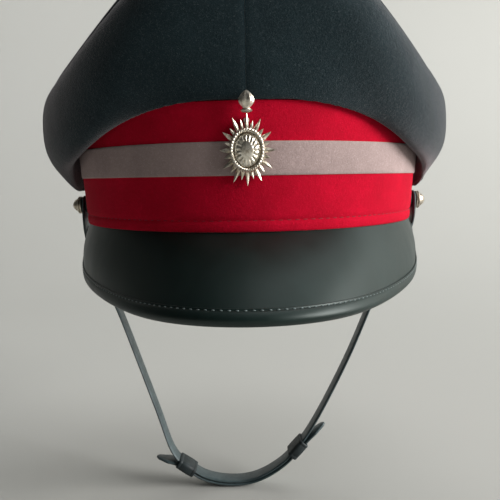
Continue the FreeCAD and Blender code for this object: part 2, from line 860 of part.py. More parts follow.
def make_inner_strap():
    strap_x = dim("button_seat") - dim("strap_gap") - dim("strap_thickness") / 2
    top = dim("button_level") + dim("strap_width") / 2
    route = [
        Vector(-strap_x, top, 0),
        Vector(-strap_x, -4, 0),
        Vector(-86.6, -17, 0),
        Vector(-80.2, -32, 0),
        Vector(-72.6, -49, 0),
        Vector(-66.6, -67, 0),
        Vector(-60.4, -85, 0),
        Vector(-54.8, -102, 0),
        Vector(-50.0, -117, 0),
        Vector(-47.2, -127, 0),
    ]
    route += along_keeper("left", (-7, 12))
    route += [Vector(-15.0, -149.6, 0), Vector(1.5, -148.9, 0)]
    route += along_keeper("right", (12, -7))
    route += [
        Vector(35.6, -114.5, 0),
        Vector(42.4, -101.5, 0),
        Vector(50.2, -86, 0),
        Vector(57.9, -69, 0),
        Vector(64.6, -52, 0),
        Vector(72.6, -34, 0),
        Vector(82.2, -18, 0),
        Vector(strap_x, -4, 0),
        Vector(strap_x, top, 0),
    ]
    body = strap_body("chinstrap_inner", route)
    doc.recompute()
    holes = new_sketch(body, "button_holes", "YZ_Plane")
    circle(holes, "dims.shank_radius + dims.shank_fit", "0", "dims.button_level")
    pocket_through(body, holes)
    doc.recompute()
    # round the tops of the two tabs
    tips = new_sketch(body, "tab_corners", "YZ_Plane")
    half = dim("strap_width") / 2
    for sign in (-1, 1):
        outer = Vector(sign * (half + 1), dim("button_level"), 0)
        rim = Vector(sign * half, dim("button_level"), 0)
        peak = Vector(0, dim("button_level") + half, 0)
        high = Vector(0, dim("button_level") + half + 1, 0)
        corner = Vector(sign * (half + 1), dim("button_level") + half + 1, 0)
        bend = Vector(
            sign * half * math.sqrt(0.5), dim("button_level") + half * math.sqrt(0.5), 0
        )
        for curve in (
            Part.LineSegment(outer, rim),
            Part.Arc(rim, bend, peak),
            Part.LineSegment(peak, high),
            Part.LineSegment(high, corner),
            Part.LineSegment(corner, outer),
        ):
            tips.addGeometry(curve, False)
    pocket_through(body, tips)


def make_outer_strap():
    aside = dim("strap_thickness") + dim("strap_gap")
    route = [Vector(-54.6, -135.2, 0), Vector(-49.6, -136.9, 0)]
    route += along_keeper("left", (-6.4, 12), aside)
    route += [Vector(-15.4, -151.3, 0), Vector(2.4, -150.5, 0)]
    route += along_keeper("right", (12, -6.4), aside)
    route += [Vector(35.4, -121.4, 0), Vector(40.6, -117.0, 0)]
    body = strap_body("chinstrap_outer", route)
    doc.recompute()
    # taper both tips in plan
    tips = new_sketch(body, "tip_corners", "XY_Plane")
    half = dim("strap_width") / 2
    for end, inwards in ((route[0].x, 1), (route[-1].x, -1)):
        tip = end - inwards * TIP_SPARE
        for sign in (-1, 1):
            corners = [
                Vector(tip, sign * TIP_HALF_WIDTH, 0),
                Vector(tip, sign * (half + 2), 0),
                Vector(tip + inwards * (TIP_TAPER + 2), sign * (half + 2), 0),
                Vector(tip + inwards * TIP_TAPER, sign * (half + 0.01), 0),
            ]
            for start, end in zip(corners, corners[1:] + corners[:1]):
                tips.addGeometry(Part.LineSegment(start, end), False)
    pocket_through(body, tips)


def make_keeper(side):
    """A leather loop around both straps, free to slide along them."""
    body = new_body(f"keeper_{side}")
    sketch = new_sketch(body, f"keeper_{side}_section", "XY_Plane")
    stack = "dims.strap_thickness * 2 + dims.strap_gap"
    for grow in ("dims.keeper_play", "dims.keeper_play + dims.keeper_wall"):
        deep = f"(({stack}) / 2 + {grow})"
        wide = f"(dims.strap_width / 2 + {grow})"
        corners = [(f"-{deep}", f"-{wide}"), (deep, f"-{wide}"), (deep, wide), (f"-{deep}", wide)]
        polygon(sketch, corners)
    pad(body, sketch, "dims.keeper_length", "Symmetric")
    aside = (dim("strap_thickness") + dim("strap_gap")) / 2
    middle = along_keeper(side, (0,), aside)[0]
    tilt = 90 + dim(f"keeper_{side}_slope")
    turn = Rotation(Vector(0, 1, 0), tilt if side == "left" else -tilt)
    body.Placement = Placement(Vector(middle.x, -dim("button_setback"), middle.y), turn)


# ---------------------------------------------------------------- badge

# The rays' lengths and the rope ring's size, as shares of the badge's half height and half width.
RAY_COUNT = 24
RAY_LONG = 1.0
RAY_SHORT = 0.86
RAY_VALLEY = 0.56
RING_SHARE = 0.55
BADGE_GAP = 0.02


def on_badge(thing, up=0.0, out=0.0, turn=None):
    """Place something on the band's front, in the badge's own leaning frame."""
    spin = Rotation(Vector(1, 0, 0), badge_turn())
    if turn is not None:
        spin = spin.multiply(turn)
    thing.Placement = Placement(badge_point(0, up, out), spin)


def make_badge():
    back = dim("badge_standoff")
    centre = -dim("rays_drop")
    face = back + dim("badge_plate")

    rays = new_body("badge_rays")
    sketch = new_sketch(rays, "ray_outline", "XY_Plane")
    half_width, half_height = dim("rays_half_width"), dim("rays_half_height")
    corners = []
    for i in range(2 * RAY_COUNT):
        turn = math.pi * i / RAY_COUNT
        length = RAY_VALLEY if i % 2 else (RAY_LONG if i % 4 == 0 else RAY_SHORT)
        corners.append(
            Vector(half_width * length * math.sin(turn), half_height * length * math.cos(turn), 0)
        )
    for start, end in zip(corners, corners[1:] + corners[:1]):
        sketch.addGeometry(Part.LineSegment(start, end), False)
    pad(rays, sketch, "dims.badge_plate")
    on_badge(rays, centre, back)

    path = doc.addObject("Part::Ellipse", "rope_path")
    path.setExpression("MajorRadius", f"dims.rays_half_height * {RING_SHARE}")
    path.setExpression("MinorRadius", f"dims.rays_half_width * {RING_SHARE}")
    path.Placement.Rotation = Rotation(Vector(0, 0, 1), 90)
    rope = ring_tube("rope", path, "dims.rope_radius")
    on_badge(piece(rope, "badge_rope_ring"), centre, face + dim("rope_radius") + BADGE_GAP)

    boss = doc.addObject("Part::Ellipsoid", "boss")
    inside = "dims.rope_radius - 0.15"
    boss.setExpression("Radius2", f"dims.rays_half_width * {RING_SHARE} - {inside}")
    boss.setExpression("Radius3", f"dims.rays_half_height * {RING_SHARE} - {inside}")
    boss.setExpression("Radius1", "dims.boss_rise")
    boss.Angle1 = 0
    on_badge(piece(boss, "badge_boss"), centre, face + BADGE_GAP)

    bud = doc.addObject("Part::Ellipsoid", "bud")
    bud.Radius1, bud.Radius2, bud.Radius3 = 4.0, 2.9, 1.3
    collar = doc.addObject("Part::Torus", "bud_collar")
    collar.Radius1, collar.Radius2 = 1.5, 0.75
    collar.Placement.Base = Vector(0, 0, -3.4)
    both = doc.addObject("Part::Fuse", "finial")
    both.Base, both.Tool = bud, collar
    finial_height = centre + half_height + dim("finial_rise")
    stand = Rotation(Vector(1, 0, 0), -90)
    on_badge(piece(both, "badge_finial"), finial_height, back + 2.3, stand)

    lugs = new_body("badge_lugs")
    sketch = new_sketch(lugs, "lug_sections", "XY_Plane")
    for sign in ("", "-"):
        circle(sketch, "dims.lug_radius", "0", f"{sign}dims.lug_spacing / 2")
    pad(lugs, sketch, "dims.lug_length")
    doc.recompute()
    eyes = new_sketch(lugs, "lug_eyes", "XZ_Plane")
    circle(eyes, "dims.pin_radius + dims.pin_fit", "0", "dims.lug_eye_setback")
    pocket_through(lugs, eyes)
    lug_foot = back - BADGE_GAP - dim("lug_length")
    on_badge(lugs, 0, lug_foot)

    pin = split_pin("badge_pin", "dims.badge_pin_length")
    turn = Rotation(Vector(1, 0, 0), -90).multiply(Rotation(Vector(0, 0, 1), 90))
    eye_out = lug_foot + dim("lug_eye_setback")
    on_badge(pin, -dim("badge_pin_length") / 2, eye_out, turn)


# ---------------------------------------------------------------- build, check and write


def make_cap():
    make_band()
    make_reed()
    make_crown()
    make_front_stay()
    make_lining()
    make_peak()
    for side in ("left", "right"):
        make_button(side)
    make_inner_strap()
    make_outer_strap()
    for side in ("left", "right"):
        make_keeper(side)
    make_badge()


def check():
    """Stop before anything is written if an object failed or a sub-part has no sound solid."""
    doc.recompute()
    for thing in doc.Objects:
        if "Invalid" in thing.State or "Error" in thing.State:
            raise RuntimeError(f"{thing.Label} is {thing.State}")
    for thing in pieces:
        shape = thing.Shape
        if shape.isNull() or not shape.isValid() or not shape.Solids:
            raise RuntimeError(f"{thing.Label} has no valid solid")


def write():
    os.makedirs("parts", exist_ok=True)
    for old in os.listdir("parts"):
        os.remove(os.path.join("parts", old))
    for thing in pieces:
        thing.Shape.exportStep(os.path.join("parts", f"{thing.Label}.step"))
        box = thing.Shape.BoundBox
        volume = thing.Shape.Volume
        print(f"{thing.Label:22s} solids {len(thing.Shape.Solids)} volume {volume:9.1f} mm3", end="")
        print(f"  z {box.ZMin:7.1f} {box.ZMax:7.1f}  y {box.YMin:7.1f} {box.YMax:7.1f}")


make_cap()
check()
write()
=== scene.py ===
import math

import bmesh
import bpy
import numpy as np
from mathutils import Matrix, Vector, noise


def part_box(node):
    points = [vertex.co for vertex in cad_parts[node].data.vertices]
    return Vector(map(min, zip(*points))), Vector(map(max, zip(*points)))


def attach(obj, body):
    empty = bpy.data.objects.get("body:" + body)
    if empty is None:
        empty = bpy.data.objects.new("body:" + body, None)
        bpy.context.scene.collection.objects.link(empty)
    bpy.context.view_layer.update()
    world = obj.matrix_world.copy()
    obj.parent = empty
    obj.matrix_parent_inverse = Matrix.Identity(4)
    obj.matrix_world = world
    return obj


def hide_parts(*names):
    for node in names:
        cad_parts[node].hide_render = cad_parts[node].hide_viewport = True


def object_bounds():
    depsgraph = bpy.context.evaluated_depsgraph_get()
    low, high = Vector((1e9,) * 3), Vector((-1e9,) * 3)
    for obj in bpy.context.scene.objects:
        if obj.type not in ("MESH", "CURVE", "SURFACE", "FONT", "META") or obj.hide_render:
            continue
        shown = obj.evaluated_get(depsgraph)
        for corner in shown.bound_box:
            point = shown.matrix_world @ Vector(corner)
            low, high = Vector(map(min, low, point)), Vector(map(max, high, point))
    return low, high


# A military peaked cap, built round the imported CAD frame. Shapes are worked out in millimetres and
# written in metres. The origin is the centre of the head opening, +Z is up and the peak points to -Y.

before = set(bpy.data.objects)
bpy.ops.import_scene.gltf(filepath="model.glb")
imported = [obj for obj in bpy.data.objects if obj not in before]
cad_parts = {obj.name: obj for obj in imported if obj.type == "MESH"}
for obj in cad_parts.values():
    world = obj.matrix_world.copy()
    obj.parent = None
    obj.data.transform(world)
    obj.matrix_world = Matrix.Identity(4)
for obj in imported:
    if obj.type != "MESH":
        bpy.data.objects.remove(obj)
cad_low, cad_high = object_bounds()
MM = 0.001


# ---- sizes, in mm


def node_box(name):
    """A CAD node's lowest and highest corners, in mm."""
    return np.array(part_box(name)) / MM


FLARE = 0.07  # how far the band leans out for each mm up
BAND_TOP = node_box("band_cloth")[1, 2]
HALF_WIDTH, HALF_LENGTH = node_box("band_cloth")[1, :2] - FLARE * BAND_TOP
STRIPE_LOW, STRIPE_HIGH = node_box("band_stripe")[:, 2]
SWEATBAND_TOP = node_box("sweatband")[1, 2]
_, BUTTON_Y, BUTTON_Z = node_box("button_dome_left").mean(axis=0)
BUTTON_RADIUS = np.ptp(node_box("button_dome_left")[:, 2]) / 2
STRAP_WIDTH = np.ptp(node_box("chinstrap_inner")[:, 1])
STRAP_THICKNESS = 1.4
STRAP_GAP = 0.3  # between the strap's two layers
CLOTH, WOOL = 1.1, 1.5  # how thick the band's and the crown's cloth are
SHARP = math.radians(50)  # edges that turn by more than this stay crisp
STITCH_RINGS = 6  # how many rings a stitch has, and how many corners each ring has


# ---- mesh helpers


def unit(vectors):
    length = np.linalg.norm(vectors, axis=-1, keepdims=True)
    return vectors / np.maximum(length, 1e-9)


def around(steps):
    """Angles evenly spaced round a full turn."""
    return np.arange(steps) * 2 * math.pi / steps


def run_along(line):
    """The distance covered at each point of a line, or of each line in an array."""
    steps = np.linalg.norm(np.diff(line, axis=-2), axis=-1)
    return np.concatenate([0 * steps[..., :1], np.cumsum(steps, axis=-1)], axis=-1)


def two_faced(outer, inner):
    """Closed sections, (section, corner, xyz), of a sheet between two faces."""
    return np.concatenate([outer, inner[:, ::-1]], axis=1)


def wobble(points, size, seed):
    """Smooth noise from about -1 to 1 at each point, in bumps about size mm across."""
    shift = Vector((17.3, 5.1, 9.7)) * seed
    flat = np.asarray(points, float).reshape(-1, 3) / size
    values = [noise.noise(Vector(p) + shift) for p in flat]
    return np.array(values).reshape(np.shape(points)[:-1])


def spline_basis(count, samples):
    """The weights of a clamped cubic B-spline's control points at positions from 0 to 1."""
    degree = 3
    inner = np.linspace(0, 1, count - degree + 1)
    knots = np.concatenate([np.zeros(degree), inner, np.ones(degree)])
    at = np.clip(np.asarray(samples, float), 0, 1 - 1e-9)
    basis = [((knots[i] <= at) & (at < knots[i + 1])).astype(float) for i in range(len(knots) - 1)]
    for k in range(1, degree + 1):
        raised = []
        for i in range(len(basis) - 1):
            left, right = knots[i + k] - knots[i], knots[i + k + 1] - knots[i + 1]
            term = np.zeros_like(at)
            if left > 0:
                term = term + (at - knots[i]) / left * basis[i]
            if right > 0:
                term = term + (knots[i + k + 1] - at) / right * basis[i + 1]
            raised.append(term)
        basis = raised
    return np.array(basis).T


def spline(poles, samples):
    return spline_basis(len(poles), samples) @ np.array(poles)


def tube_faces(rows, columns, closed):
    """The faces of a tube of rings, capped at both ends unless it closes on itself."""
    faces = []
    for i in range(rows if closed else rows - 1):
        for j in range(columns):
            k, m = (i + 1) % rows, (j + 1) % columns
            faces.append((i * columns + j, k * columns + j, k * columns + m, i * columns + m))
    if not closed:
        faces.append(tuple(range(columns)))
        faces.append(tuple((rows - 1) * columns + j for j in reversed(range(columns))))
    return faces


def placed(name, data):
    """A new object in the scene."""
    thing = bpy.data.objects.new(name, data)
    bpy.context.scene.collection.objects.link(thing)
    return thing


def make_piece(name, points, faces, finish, body="cap", stands_for=None, slot=None):
    """A mesh piece on a CAD body, with its finish as its material. Its slot argument is not used."""
    mesh = bpy.data.meshes.new(name)
    mesh.from_pydata((np.asarray(points) * MM).tolist(), [], [list(f) for f in faces])
    shape = bmesh.new()
    shape.from_mesh(mesh)
    bmesh.ops.recalc_face_normals(shape, faces=shape.faces)
    for face in shape.faces:
        face.smooth = True
    for edge in shape.edges:
        if len(edge.link_faces) == 2 and edge.calc_face_angle() > SHARP:
            edge.smooth = False
    shape.to_mesh(mesh)
    shape.free()
    mesh.materials.append(finish)
    piece = placed(name, mesh)
    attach(piece, body)
    if stands_for:
        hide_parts(stands_for)


def swept(name, sections, finish, closed=False, **facts):
    """A solid through closed sections, an array of (section, corner, xyz)."""
    sections = np.asarray(sections)
    rows, columns = sections.shape[:2]
    make_piece(name, sections.reshape(-1, 3), tube_faces(rows, columns, closed), finish, **facts)


def turned(name, profile, centre, axis, finish, steps, ripple=0, ring=False, **facts):
    """A round piece or a ring: a profile of (radius, distance) turned about a unit axis."""
    side = unit(np.cross(axis, (0.3, 1.0, 0.2)))
    turn = around(steps)[:, None]
    circle = side * np.cos(turn) + np.cross(axis, side) * np.sin(turn)
    radius, distance = np.array(profile).T[..., None, None]
    rows = np.array(centre) + circle * (radius * (1 + np.array(ripple)[..., None]))
    rows = rows + np.array(axis) * distance
    swept(name, rows.transpose(1, 0, 2) if ring else rows, finish, closed=ring, **facts)


def tube_ring(name, line, radius, finish, corners=12, lay=(0, 0, 0), up=(0, 0, 1), **facts):
    """A closed cord along a loop of points. Its lay is (twists in the loop, strands, their depth)."""
    twists, strands, depth = lay
    ahead = unit(np.roll(line, -1, axis=0) - np.roll(line, 1, axis=0))
    up = unit(up - ahead * (ahead @ up)[:, None])
    side = np.cross(ahead, up)
    turn, phase = around(corners), around(len(line))[:, None] * twists
    girth = radius * (1 + depth * (np.cos(strands * turn - phase) - 1))[..., None]
    turn = turn[:, None]
    rows = line[:, None] + girth * (side[:, None] * np.cos(turn) + up[:, None] * np.sin(turn))
    swept(name, rows, finish, closed=True, **facts)


def disc(name, outer, inner, finish, **facts):
    """A round sheet from two faces, (angle, share, xyz), whose shares run in from the rim."""
    rows = two_faced(outer, inner)
    count, columns = rows.shape[:2]
    middle = columns // 2 - 1
    faces = [f for f in tube_faces(count, columns, True)
             if {j % columns for j in f} != {middle, middle + 1}]
    points = rows.reshape(-1, 3).tolist()
    points += [list(rows[:, j].mean(axis=0)) for j in (middle, middle + 1)]
    for i in range(count):
        k = (i + 1) % count
        faces.append((i * columns + middle, k * columns + middle, len(points) - 2))
        faces.append((k * columns + middle + 1, i * columns + middle + 1, len(points) - 1))
    make_piece(name, points, faces, finish, **facts)


def stitch(middle, along, up, length, radius):
    """One thread stitch: a slim rounded bead that dips at both ends."""
    along, up = unit(along), unit(up)
    share, turn = np.linspace(-1, 1, STITCH_RINGS)[:, None, None], around(STITCH_RINGS)[:, None]
    girth = radius * np.sqrt(np.maximum(1 - 0.9 * share**2, 0.05))
    lift = radius * (0.55 - 1.1 * share**4)
    ring = np.cross(along, up) * np.cos(turn) * girth + up * (np.sin(turn) * girth + lift)
    return middle + along * share * length / 2 + ring


def stitch_row(name, path, normals, pitch, length, radius, finish, loop=False, **facts):
    """Stitches of one pitch along a path of points, standing on a surface with those normals."""
    if loop:
        path, normals = (np.concatenate([points, points[:1]]) for points in (path, normals))
    run = run_along(path)
    count = int(run[-1] / pitch)

    def at(where, values):
        return np.array([np.interp(where, run, values[:, k]) for k in range(3)])

    points = []
    for i in range(count):
        here = (i + 0.5) * run[-1] / count
        first, last = at(here - 0.4, path), at(here + 0.4, path)
        points.append(stitch((first + last) / 2, last - first, at(here, normals), length, radius))
    bead = tube_faces(STITCH_RINGS, STITCH_RINGS, False)
    faces = [tuple(j + STITCH_RINGS**2 * i for j in face) for i in range(count) for face in bead]
    make_piece(name, np.reshape(points, (-1, 3)), faces, finish, **facts)


# ---- the band's oval


def oval(theta, offset, height):
    """Points round the head: offset outwards from the band's face at a height."""
    theta, offset, height = np.broadcast_arrays(theta, offset, height)
    grow = FLARE * height + offset
    x = (HALF_WIDTH + grow) * np.cos(theta)
    y = (HALF_LENGTH + grow) * np.sin(theta)
    return np.stack([x, y, height], axis=-1)


def outwards(theta):
    """The band's outward direction at an angle."""
    flat = np.stack([np.cos(theta) * HALF_LENGTH, np.sin(theta) * HALF_WIDTH, 0 * theta], axis=-1)
    return unit(flat)


ROUND = around(360)
BACK_SEAM = math.pi / 2


# ---- finishes


class Finish:
    """A procedural material under construction."""

    def __init__(self, name, **surface):
        self.material = bpy.data.materials.new(name)
        self.material.use_nodes = True
        self.tree = self.material.node_tree
        self.shader = self.tree.nodes["Principled BSDF"]
        for socket, value in surface.items():
            self.shader.inputs[socket.replace("_", " ")].default_value = value
        self.place = self.tree.nodes.new("ShaderNodeTexCoord").outputs["Object"]

    def node(self, kind, sockets=None, **settings):
        node = self.tree.nodes.new(kind)
        for name, value in settings.items():
            setattr(node, name, value)
        for name, value in (sockets or {}).items():
            self.put(node.inputs[name], value)
        return node

    def put(self, socket, value):
        if isinstance(value, bpy.types.NodeSocket):
            self.tree.links.new(value, socket)
        else:
            socket.default_value = value

    def noise(self, size, detail=4.0, roughness=0.55, distortion=0.0, stretch=(1, 1, 1)):
        """Noise with features about size mm across, from 0 to 1."""
        vector = self.place
        if tuple(stretch) != (1, 1, 1):
            vector = self.node("ShaderNodeMapping", {"Vector": self.place, "Scale": stretch}).outputs[0]
        sockets = {
            "Vector": vector,
            "Scale": 1 / (size * MM),
            "Detail": detail,
            "Roughness": roughness,
            "Distortion": distortion,
        }
        return self.node("ShaderNodeTexNoise", sockets).outputs["Fac"]

    def cells(self, size, feature="F1", randomness=1.0):
        """Distance to scattered points about size mm apart."""
        sockets = {"Vector": self.place, "Scale": 1 / (size * MM), "Randomness": randomness}
        return self.node("ShaderNodeTexVoronoi", sockets, feature=feature).outputs["Distance"]

    def ramp(self, source, *stops):
        """Colours (or greys, as numbers) at positions along a source."""
        ramp = self.node("ShaderNodeValToRGB", {"Fac": source})
        elements = ramp.color_ramp.elements
        while len(elements) < len(stops):
            elements.new(0.5)
        for element, (position, colour) in zip(elements, stops):
            element.position = position
            if not hasattr(colour, "__len__"):
                colour = (colour,) * 3
            element.color = (*colour, 1)
        return ramp.outputs["Color"]

    def mix(self, factor, first, second, blend="MIX"):
        node = self.node("ShaderNodeMix", data_type="RGBA", blend_type=blend)
        self.put(node.inputs[0], factor)
        for socket, value in ((node.inputs[6], first), (node.inputs[7], second)):
            if isinstance(value, tuple):
                value = (*value, 1)
            self.put(socket, value)
        return node.outputs[2]

    def math(self, operation, first, second=0.0):
        node = self.node("ShaderNodeMath", operation=operation)
        self.put(node.inputs[0], first)
        self.put(node.inputs[1], second)
        return node.outputs[0]

    def bump(self, height, depth, strength=1.0):
        """Relief that is depth mm deep, on top of any relief made before it."""
        sockets = {"Height": height, "Distance": depth * MM, "Strength": strength}
        normal = self.shader.inputs["Normal"]
        if normal.is_linked:
            sockets["Normal"] = normal.links[0].from_socket
        self.put(normal, self.node("ShaderNodeBump", sockets).outputs["Normal"])

    def colour(self, value):
        self.put(self.shader.inputs["Base Color"], value)

    def roughness(self, value):
        self.put(self.shader.inputs["Roughness"], value)


def wool(name, deep, main, fuzz, sheen_tint, sheen):
    """Milled wool cloth: a matted nap with paler fibre ends and a faint bloom at grazing angles."""
    look = Finish(name, Roughness=0.92, Specular_IOR_Level=0.10, Sheen_Weight=sheen,
                  Sheen_Roughness=0.45, Sheen_Tint=(*sheen_tint, 1))
    mottle = look.noise(14, detail=3)
    felt = look.noise(1.5, detail=5, roughness=0.65, distortion=0.8)
    fibre = look.noise(0.55, detail=3, roughness=0.7, distortion=1.6)
    base = look.mix(look.ramp(mottle, (0.3, 0.25), (0.75, 0.85)), deep, main)
    matted = look.mix(look.ramp(felt, (0.35, 0.0), (0.7, 0.55)), base, deep)
    specks = look.ramp(fibre, (0.55, 0), (0.74, 1))
    look.colour(look.mix(look.math("MULTIPLY", specks, 0.62), matted, fuzz))
    look.bump(felt, 0.35, 0.7)
    look.bump(fibre, 0.22, 0.8)
    return look.material


def patent(name):
    """Black patent leather: a deep gloss over a very slightly rippled hide, with faint smears."""
    look = Finish(name, Specular_IOR_Level=0.37, Specular_Tint=(0.86, 1.0, 0.97, 1), Coat_Weight=0.14,
                  Coat_Roughness=0.34)
    smear = look.noise(22, detail=5, roughness=0.6, distortion=1.2, stretch=(1, 1, 0.5))
    dust = look.noise(0.9, detail=2, roughness=0.8)
    haze = look.ramp(smear, (0.42, (0.0006, 0.0080, 0.0064)), (0.72, (0.0045, 0.0145, 0.0130)))
    look.colour(look.mix(look.ramp(dust, (0.72, 0), (0.86, 0.35)), haze, (0.06, 0.065, 0.062)))
    look.roughness(look.ramp(smear, (0.35, 0.44), (0.75, 0.55)))
    ripple = look.noise(16, detail=2)
    look.bump(ripple, 0.10, 0.18)
    pores = look.noise(0.45, detail=2)
    look.bump(pores, 0.012, 0.3)
    return look.material


def leather(name, dark, light, grain_size, gloss, grain_depth=0.10):
    """Leather with a pebbled grain, a little paler in broad patches."""
    look = Finish(name, Specular_IOR_Level=0.45)
    grain = look.cells(grain_size, feature="SMOOTH_F1")
    tone = look.noise(8, detail=4, roughness=0.6)
    crease = look.noise(2.2, detail=4, roughness=0.6, distortion=0.6)
    look.colour(look.mix(look.ramp(tone, (0.35, 0), (0.7, 1)), dark, light))
    look.roughness(look.ramp(crease, (0.3, gloss), (0.75, min(gloss + 0.2, 1.0))))
    look.bump(grain, grain_depth, 0.5)
    look.bump(crease, 0.12, 0.35)
    return look.material


def metal(name, bright, tarnish, gloss, relief=0.05):
    """Cast and polished metal with tarnished patches and fine wear."""
    look = Finish(name, Metallic=1.0)
    stain = look.noise(1.8, detail=5, roughness=0.65)
    wear = look.noise(0.5, detail=3, roughness=0.7)
    look.colour(look.mix(look.ramp(stain, (0.42, 0), (0.7, 1)), bright, tarnish))
    look.roughness(look.ramp(wear, (0.3, gloss), (0.75, gloss + 0.22)))
    look.bump(stain, relief, 0.4)
    return look.material


def woven(name, dark, light, pitch, gloss=0.8, sheen=0.0):
    """A plain weave: threads over and under each other at a pitch in mm."""
    look = Finish(name, Specular_IOR_Level=0.3, Sheen_Weight=sheen)
    waves = []
    for axis in "XYZ":
        sockets = {"Vector": look.place, "Scale": 1 / (pitch * MM) / 3.2, "Distortion": 0.4}
        wave = look.node("ShaderNodeTexWave", sockets, bands_direction=axis, wave_profile="SIN")
        waves.append(wave.outputs["Fac"])
    weave = look.math("MULTIPLY", look.math("ADD", waves[0], waves[1]), waves[2])
    tone = look.noise(6, detail=4)
    shade = look.math("ADD", look.math("MULTIPLY", weave, 0.35), look.math("MULTIPLY", tone, 0.6))
    look.colour(look.mix(look.ramp(shade, (0.25, 0), (0.75, 1)), dark, light))
    look.roughness(look.ramp(tone, (0.3, gloss - 0.1), (0.7, gloss)))
    look.bump(weave, 0.12, 0.6)
    return look.material


def plain(name, dark, light, gloss, size=3.0, relief=0.05, **surface):
    """A moulded or pressed material with a soft, uneven surface."""
    look = Finish(name, **surface)
    tone = look.noise(size, detail=4)
    look.colour(look.mix(look.ramp(tone, (0.3, 0), (0.7, 1)), dark, light))
    look.roughness(look.ramp(tone, (0.3, gloss), (0.7, min(gloss + 0.15, 1.0))))
    look.bump(tone, relief, 0.4)
    return look.material


NAVY = wool("navy_wool", (0.0030, 0.0125, 0.0165), (0.0105, 0.027, 0.033), (0.11, 0.145, 0.155),
            (1.0, 0.92, 0.95), 0.42)
SCARLET = wool("scarlet_cloth", (0.38, 0.0008, 0.014), (0.62, 0.0013, 0.026), (0.82, 0.010, 0.06),
               (1.0, 0.2, 0.3), 0.03)
GREY = wool("grey_felt", (0.31, 0.235, 0.225), (0.49, 0.37, 0.36), (0.74, 0.62, 0.61),
            (0.9, 0.85, 0.85), 0.01)
PATENT = patent("patent_leather")
STRAP = leather("strap_leather", (0.030, 0.048, 0.053), (0.062, 0.090, 0.097), 0.5, 0.36, 0.05)
BLACK = leather("black_leather", (0.008, 0.014, 0.016), (0.020, 0.031, 0.034), 0.6, 0.5)
TAN = leather("tan_leather", (0.15, 0.065, 0.028), (0.24, 0.12, 0.055), 0.8, 0.42)
SILVER = metal("white_metal", (0.94, 0.88, 0.77), (0.48, 0.41, 0.31), 0.24)
BUTTON_METAL = metal("button_metal", (0.66, 0.59, 0.49), (0.24, 0.20, 0.15), 0.27)
BRASS = metal("brass_wire", (0.62, 0.45, 0.20), (0.30, 0.20, 0.08), 0.3)
STEEL = metal("spring_wire", (0.52, 0.52, 0.53), (0.26, 0.25, 0.24), 0.35)
CANVAS = woven("buckram", (0.34, 0.29, 0.20), (0.55, 0.49, 0.38), 0.9)
SATIN = woven("lining_cloth", (0.045, 0.018, 0.020), (0.11, 0.045, 0.045), 0.35, 0.42, 0.3)
FIBRE = plain("fibreboard", (0.10, 0.07, 0.045), (0.18, 0.13, 0.08), 0.8)
FILM = plain("clear_film", (0.62, 0.60, 0.55), (0.75, 0.74, 0.70), 0.18, size=9, Alpha=0.4)
CORD = plain("reed_cord", (0.05, 0.045, 0.04), (0.10, 0.09, 0.08), 0.5)
STIFF = plain("stay_strip", (0.68, 0.67, 0.62), (0.80, 0.79, 0.74), 0.4)
# Grey-teal thread, with its colour made paler than the thread itself to stand in for the glints on the
# stitches: painted highlight.
DARK_THREAD = plain("dark_thread", (0.05, 0.075, 0.075), (0.15, 0.19, 0.19), 0.32, size=0.8)
RED_THREAD = plain("red_thread", (0.20, 0.002, 0.012), (0.34, 0.003, 0.020), 0.7, size=0.8)
TAN_THREAD = plain("tan_thread", (0.30, 0.18, 0.09), (0.42, 0.28, 0.16), 0.6, size=0.8)

# ---- band


def band_ring(name, path, thickness, finish, shake, seam_depth, back=None, **facts):
    """A cloth wall round the head: its outer path as (offset, height), its thickness or its back.

    Each row of shake is one unevenness: the size and depth of its bumps and a seed. seam_depth is how
    deep the seam at the back dips.
    """
    path = np.array(path, float)
    inner = path[::-1] - (thickness, 0) if back is None else back
    offset, height = np.concatenate([path, inner]).T
    theta = ROUND[:, None]
    points = oval(theta, offset, height)
    for size, depth, seed in shake:
        offset = offset + depth * wobble(points, size, seed)
    away = np.abs(theta - BACK_SEAM) * HALF_WIDTH
    dip = np.exp(-((away / 0.9) ** 2)) - 0.4 * np.exp(-(((away - 3.5) / 2.0) ** 2))
    swept(name, oval(theta, offset - seam_depth * dip, height), finish, closed=True, **facts)


def make_band():
    hem, crease = 4.5, 0.55
    rise = np.linspace(hem + 2.2, BAND_TOP, 26)
    path = [(-0.85, 0.05), (-0.45, 0.0), (-0.12, 0.35), (0.0, 1.0), (0.03, 2.4), (-0.08, hem - 0.9)]
    path += [(-crease, hem), (-0.10, hem + 0.9)] + [(0.0, z) for z in rise]
    shake = ((38, 0.22, 1), (11, 0.07, 2))
    band_ring("cloth_band", path, CLOTH, SCARLET, shake, 0.35, stands_for="band_cloth")
    stitch_row("band_hem_stitches", oval(ROUND, -crease, hem), outwards(ROUND), 3.4, 2.3, 0.20,
               RED_THREAD, loop=True, slot="scarlet_cloth")

    low, high = STRIPE_LOW, STRIPE_HIGH
    edge = [(0.05, low + 0.05), (0.40, low), (0.62, low + 0.35)]
    path = edge + [(0.68, z) for z in np.linspace(low + 1, high - 1, 8)]
    path += [(o, low + high - z) for o, z in reversed(edge)]
    back = [(0.03, z) for z in np.linspace(high - 0.1, low + 0.1, 9)]
    band_ring("felt_stripe", path, 0, GREY, shake, 0.25, back, stands_for="band_stripe")


make_band()

# ---- crown

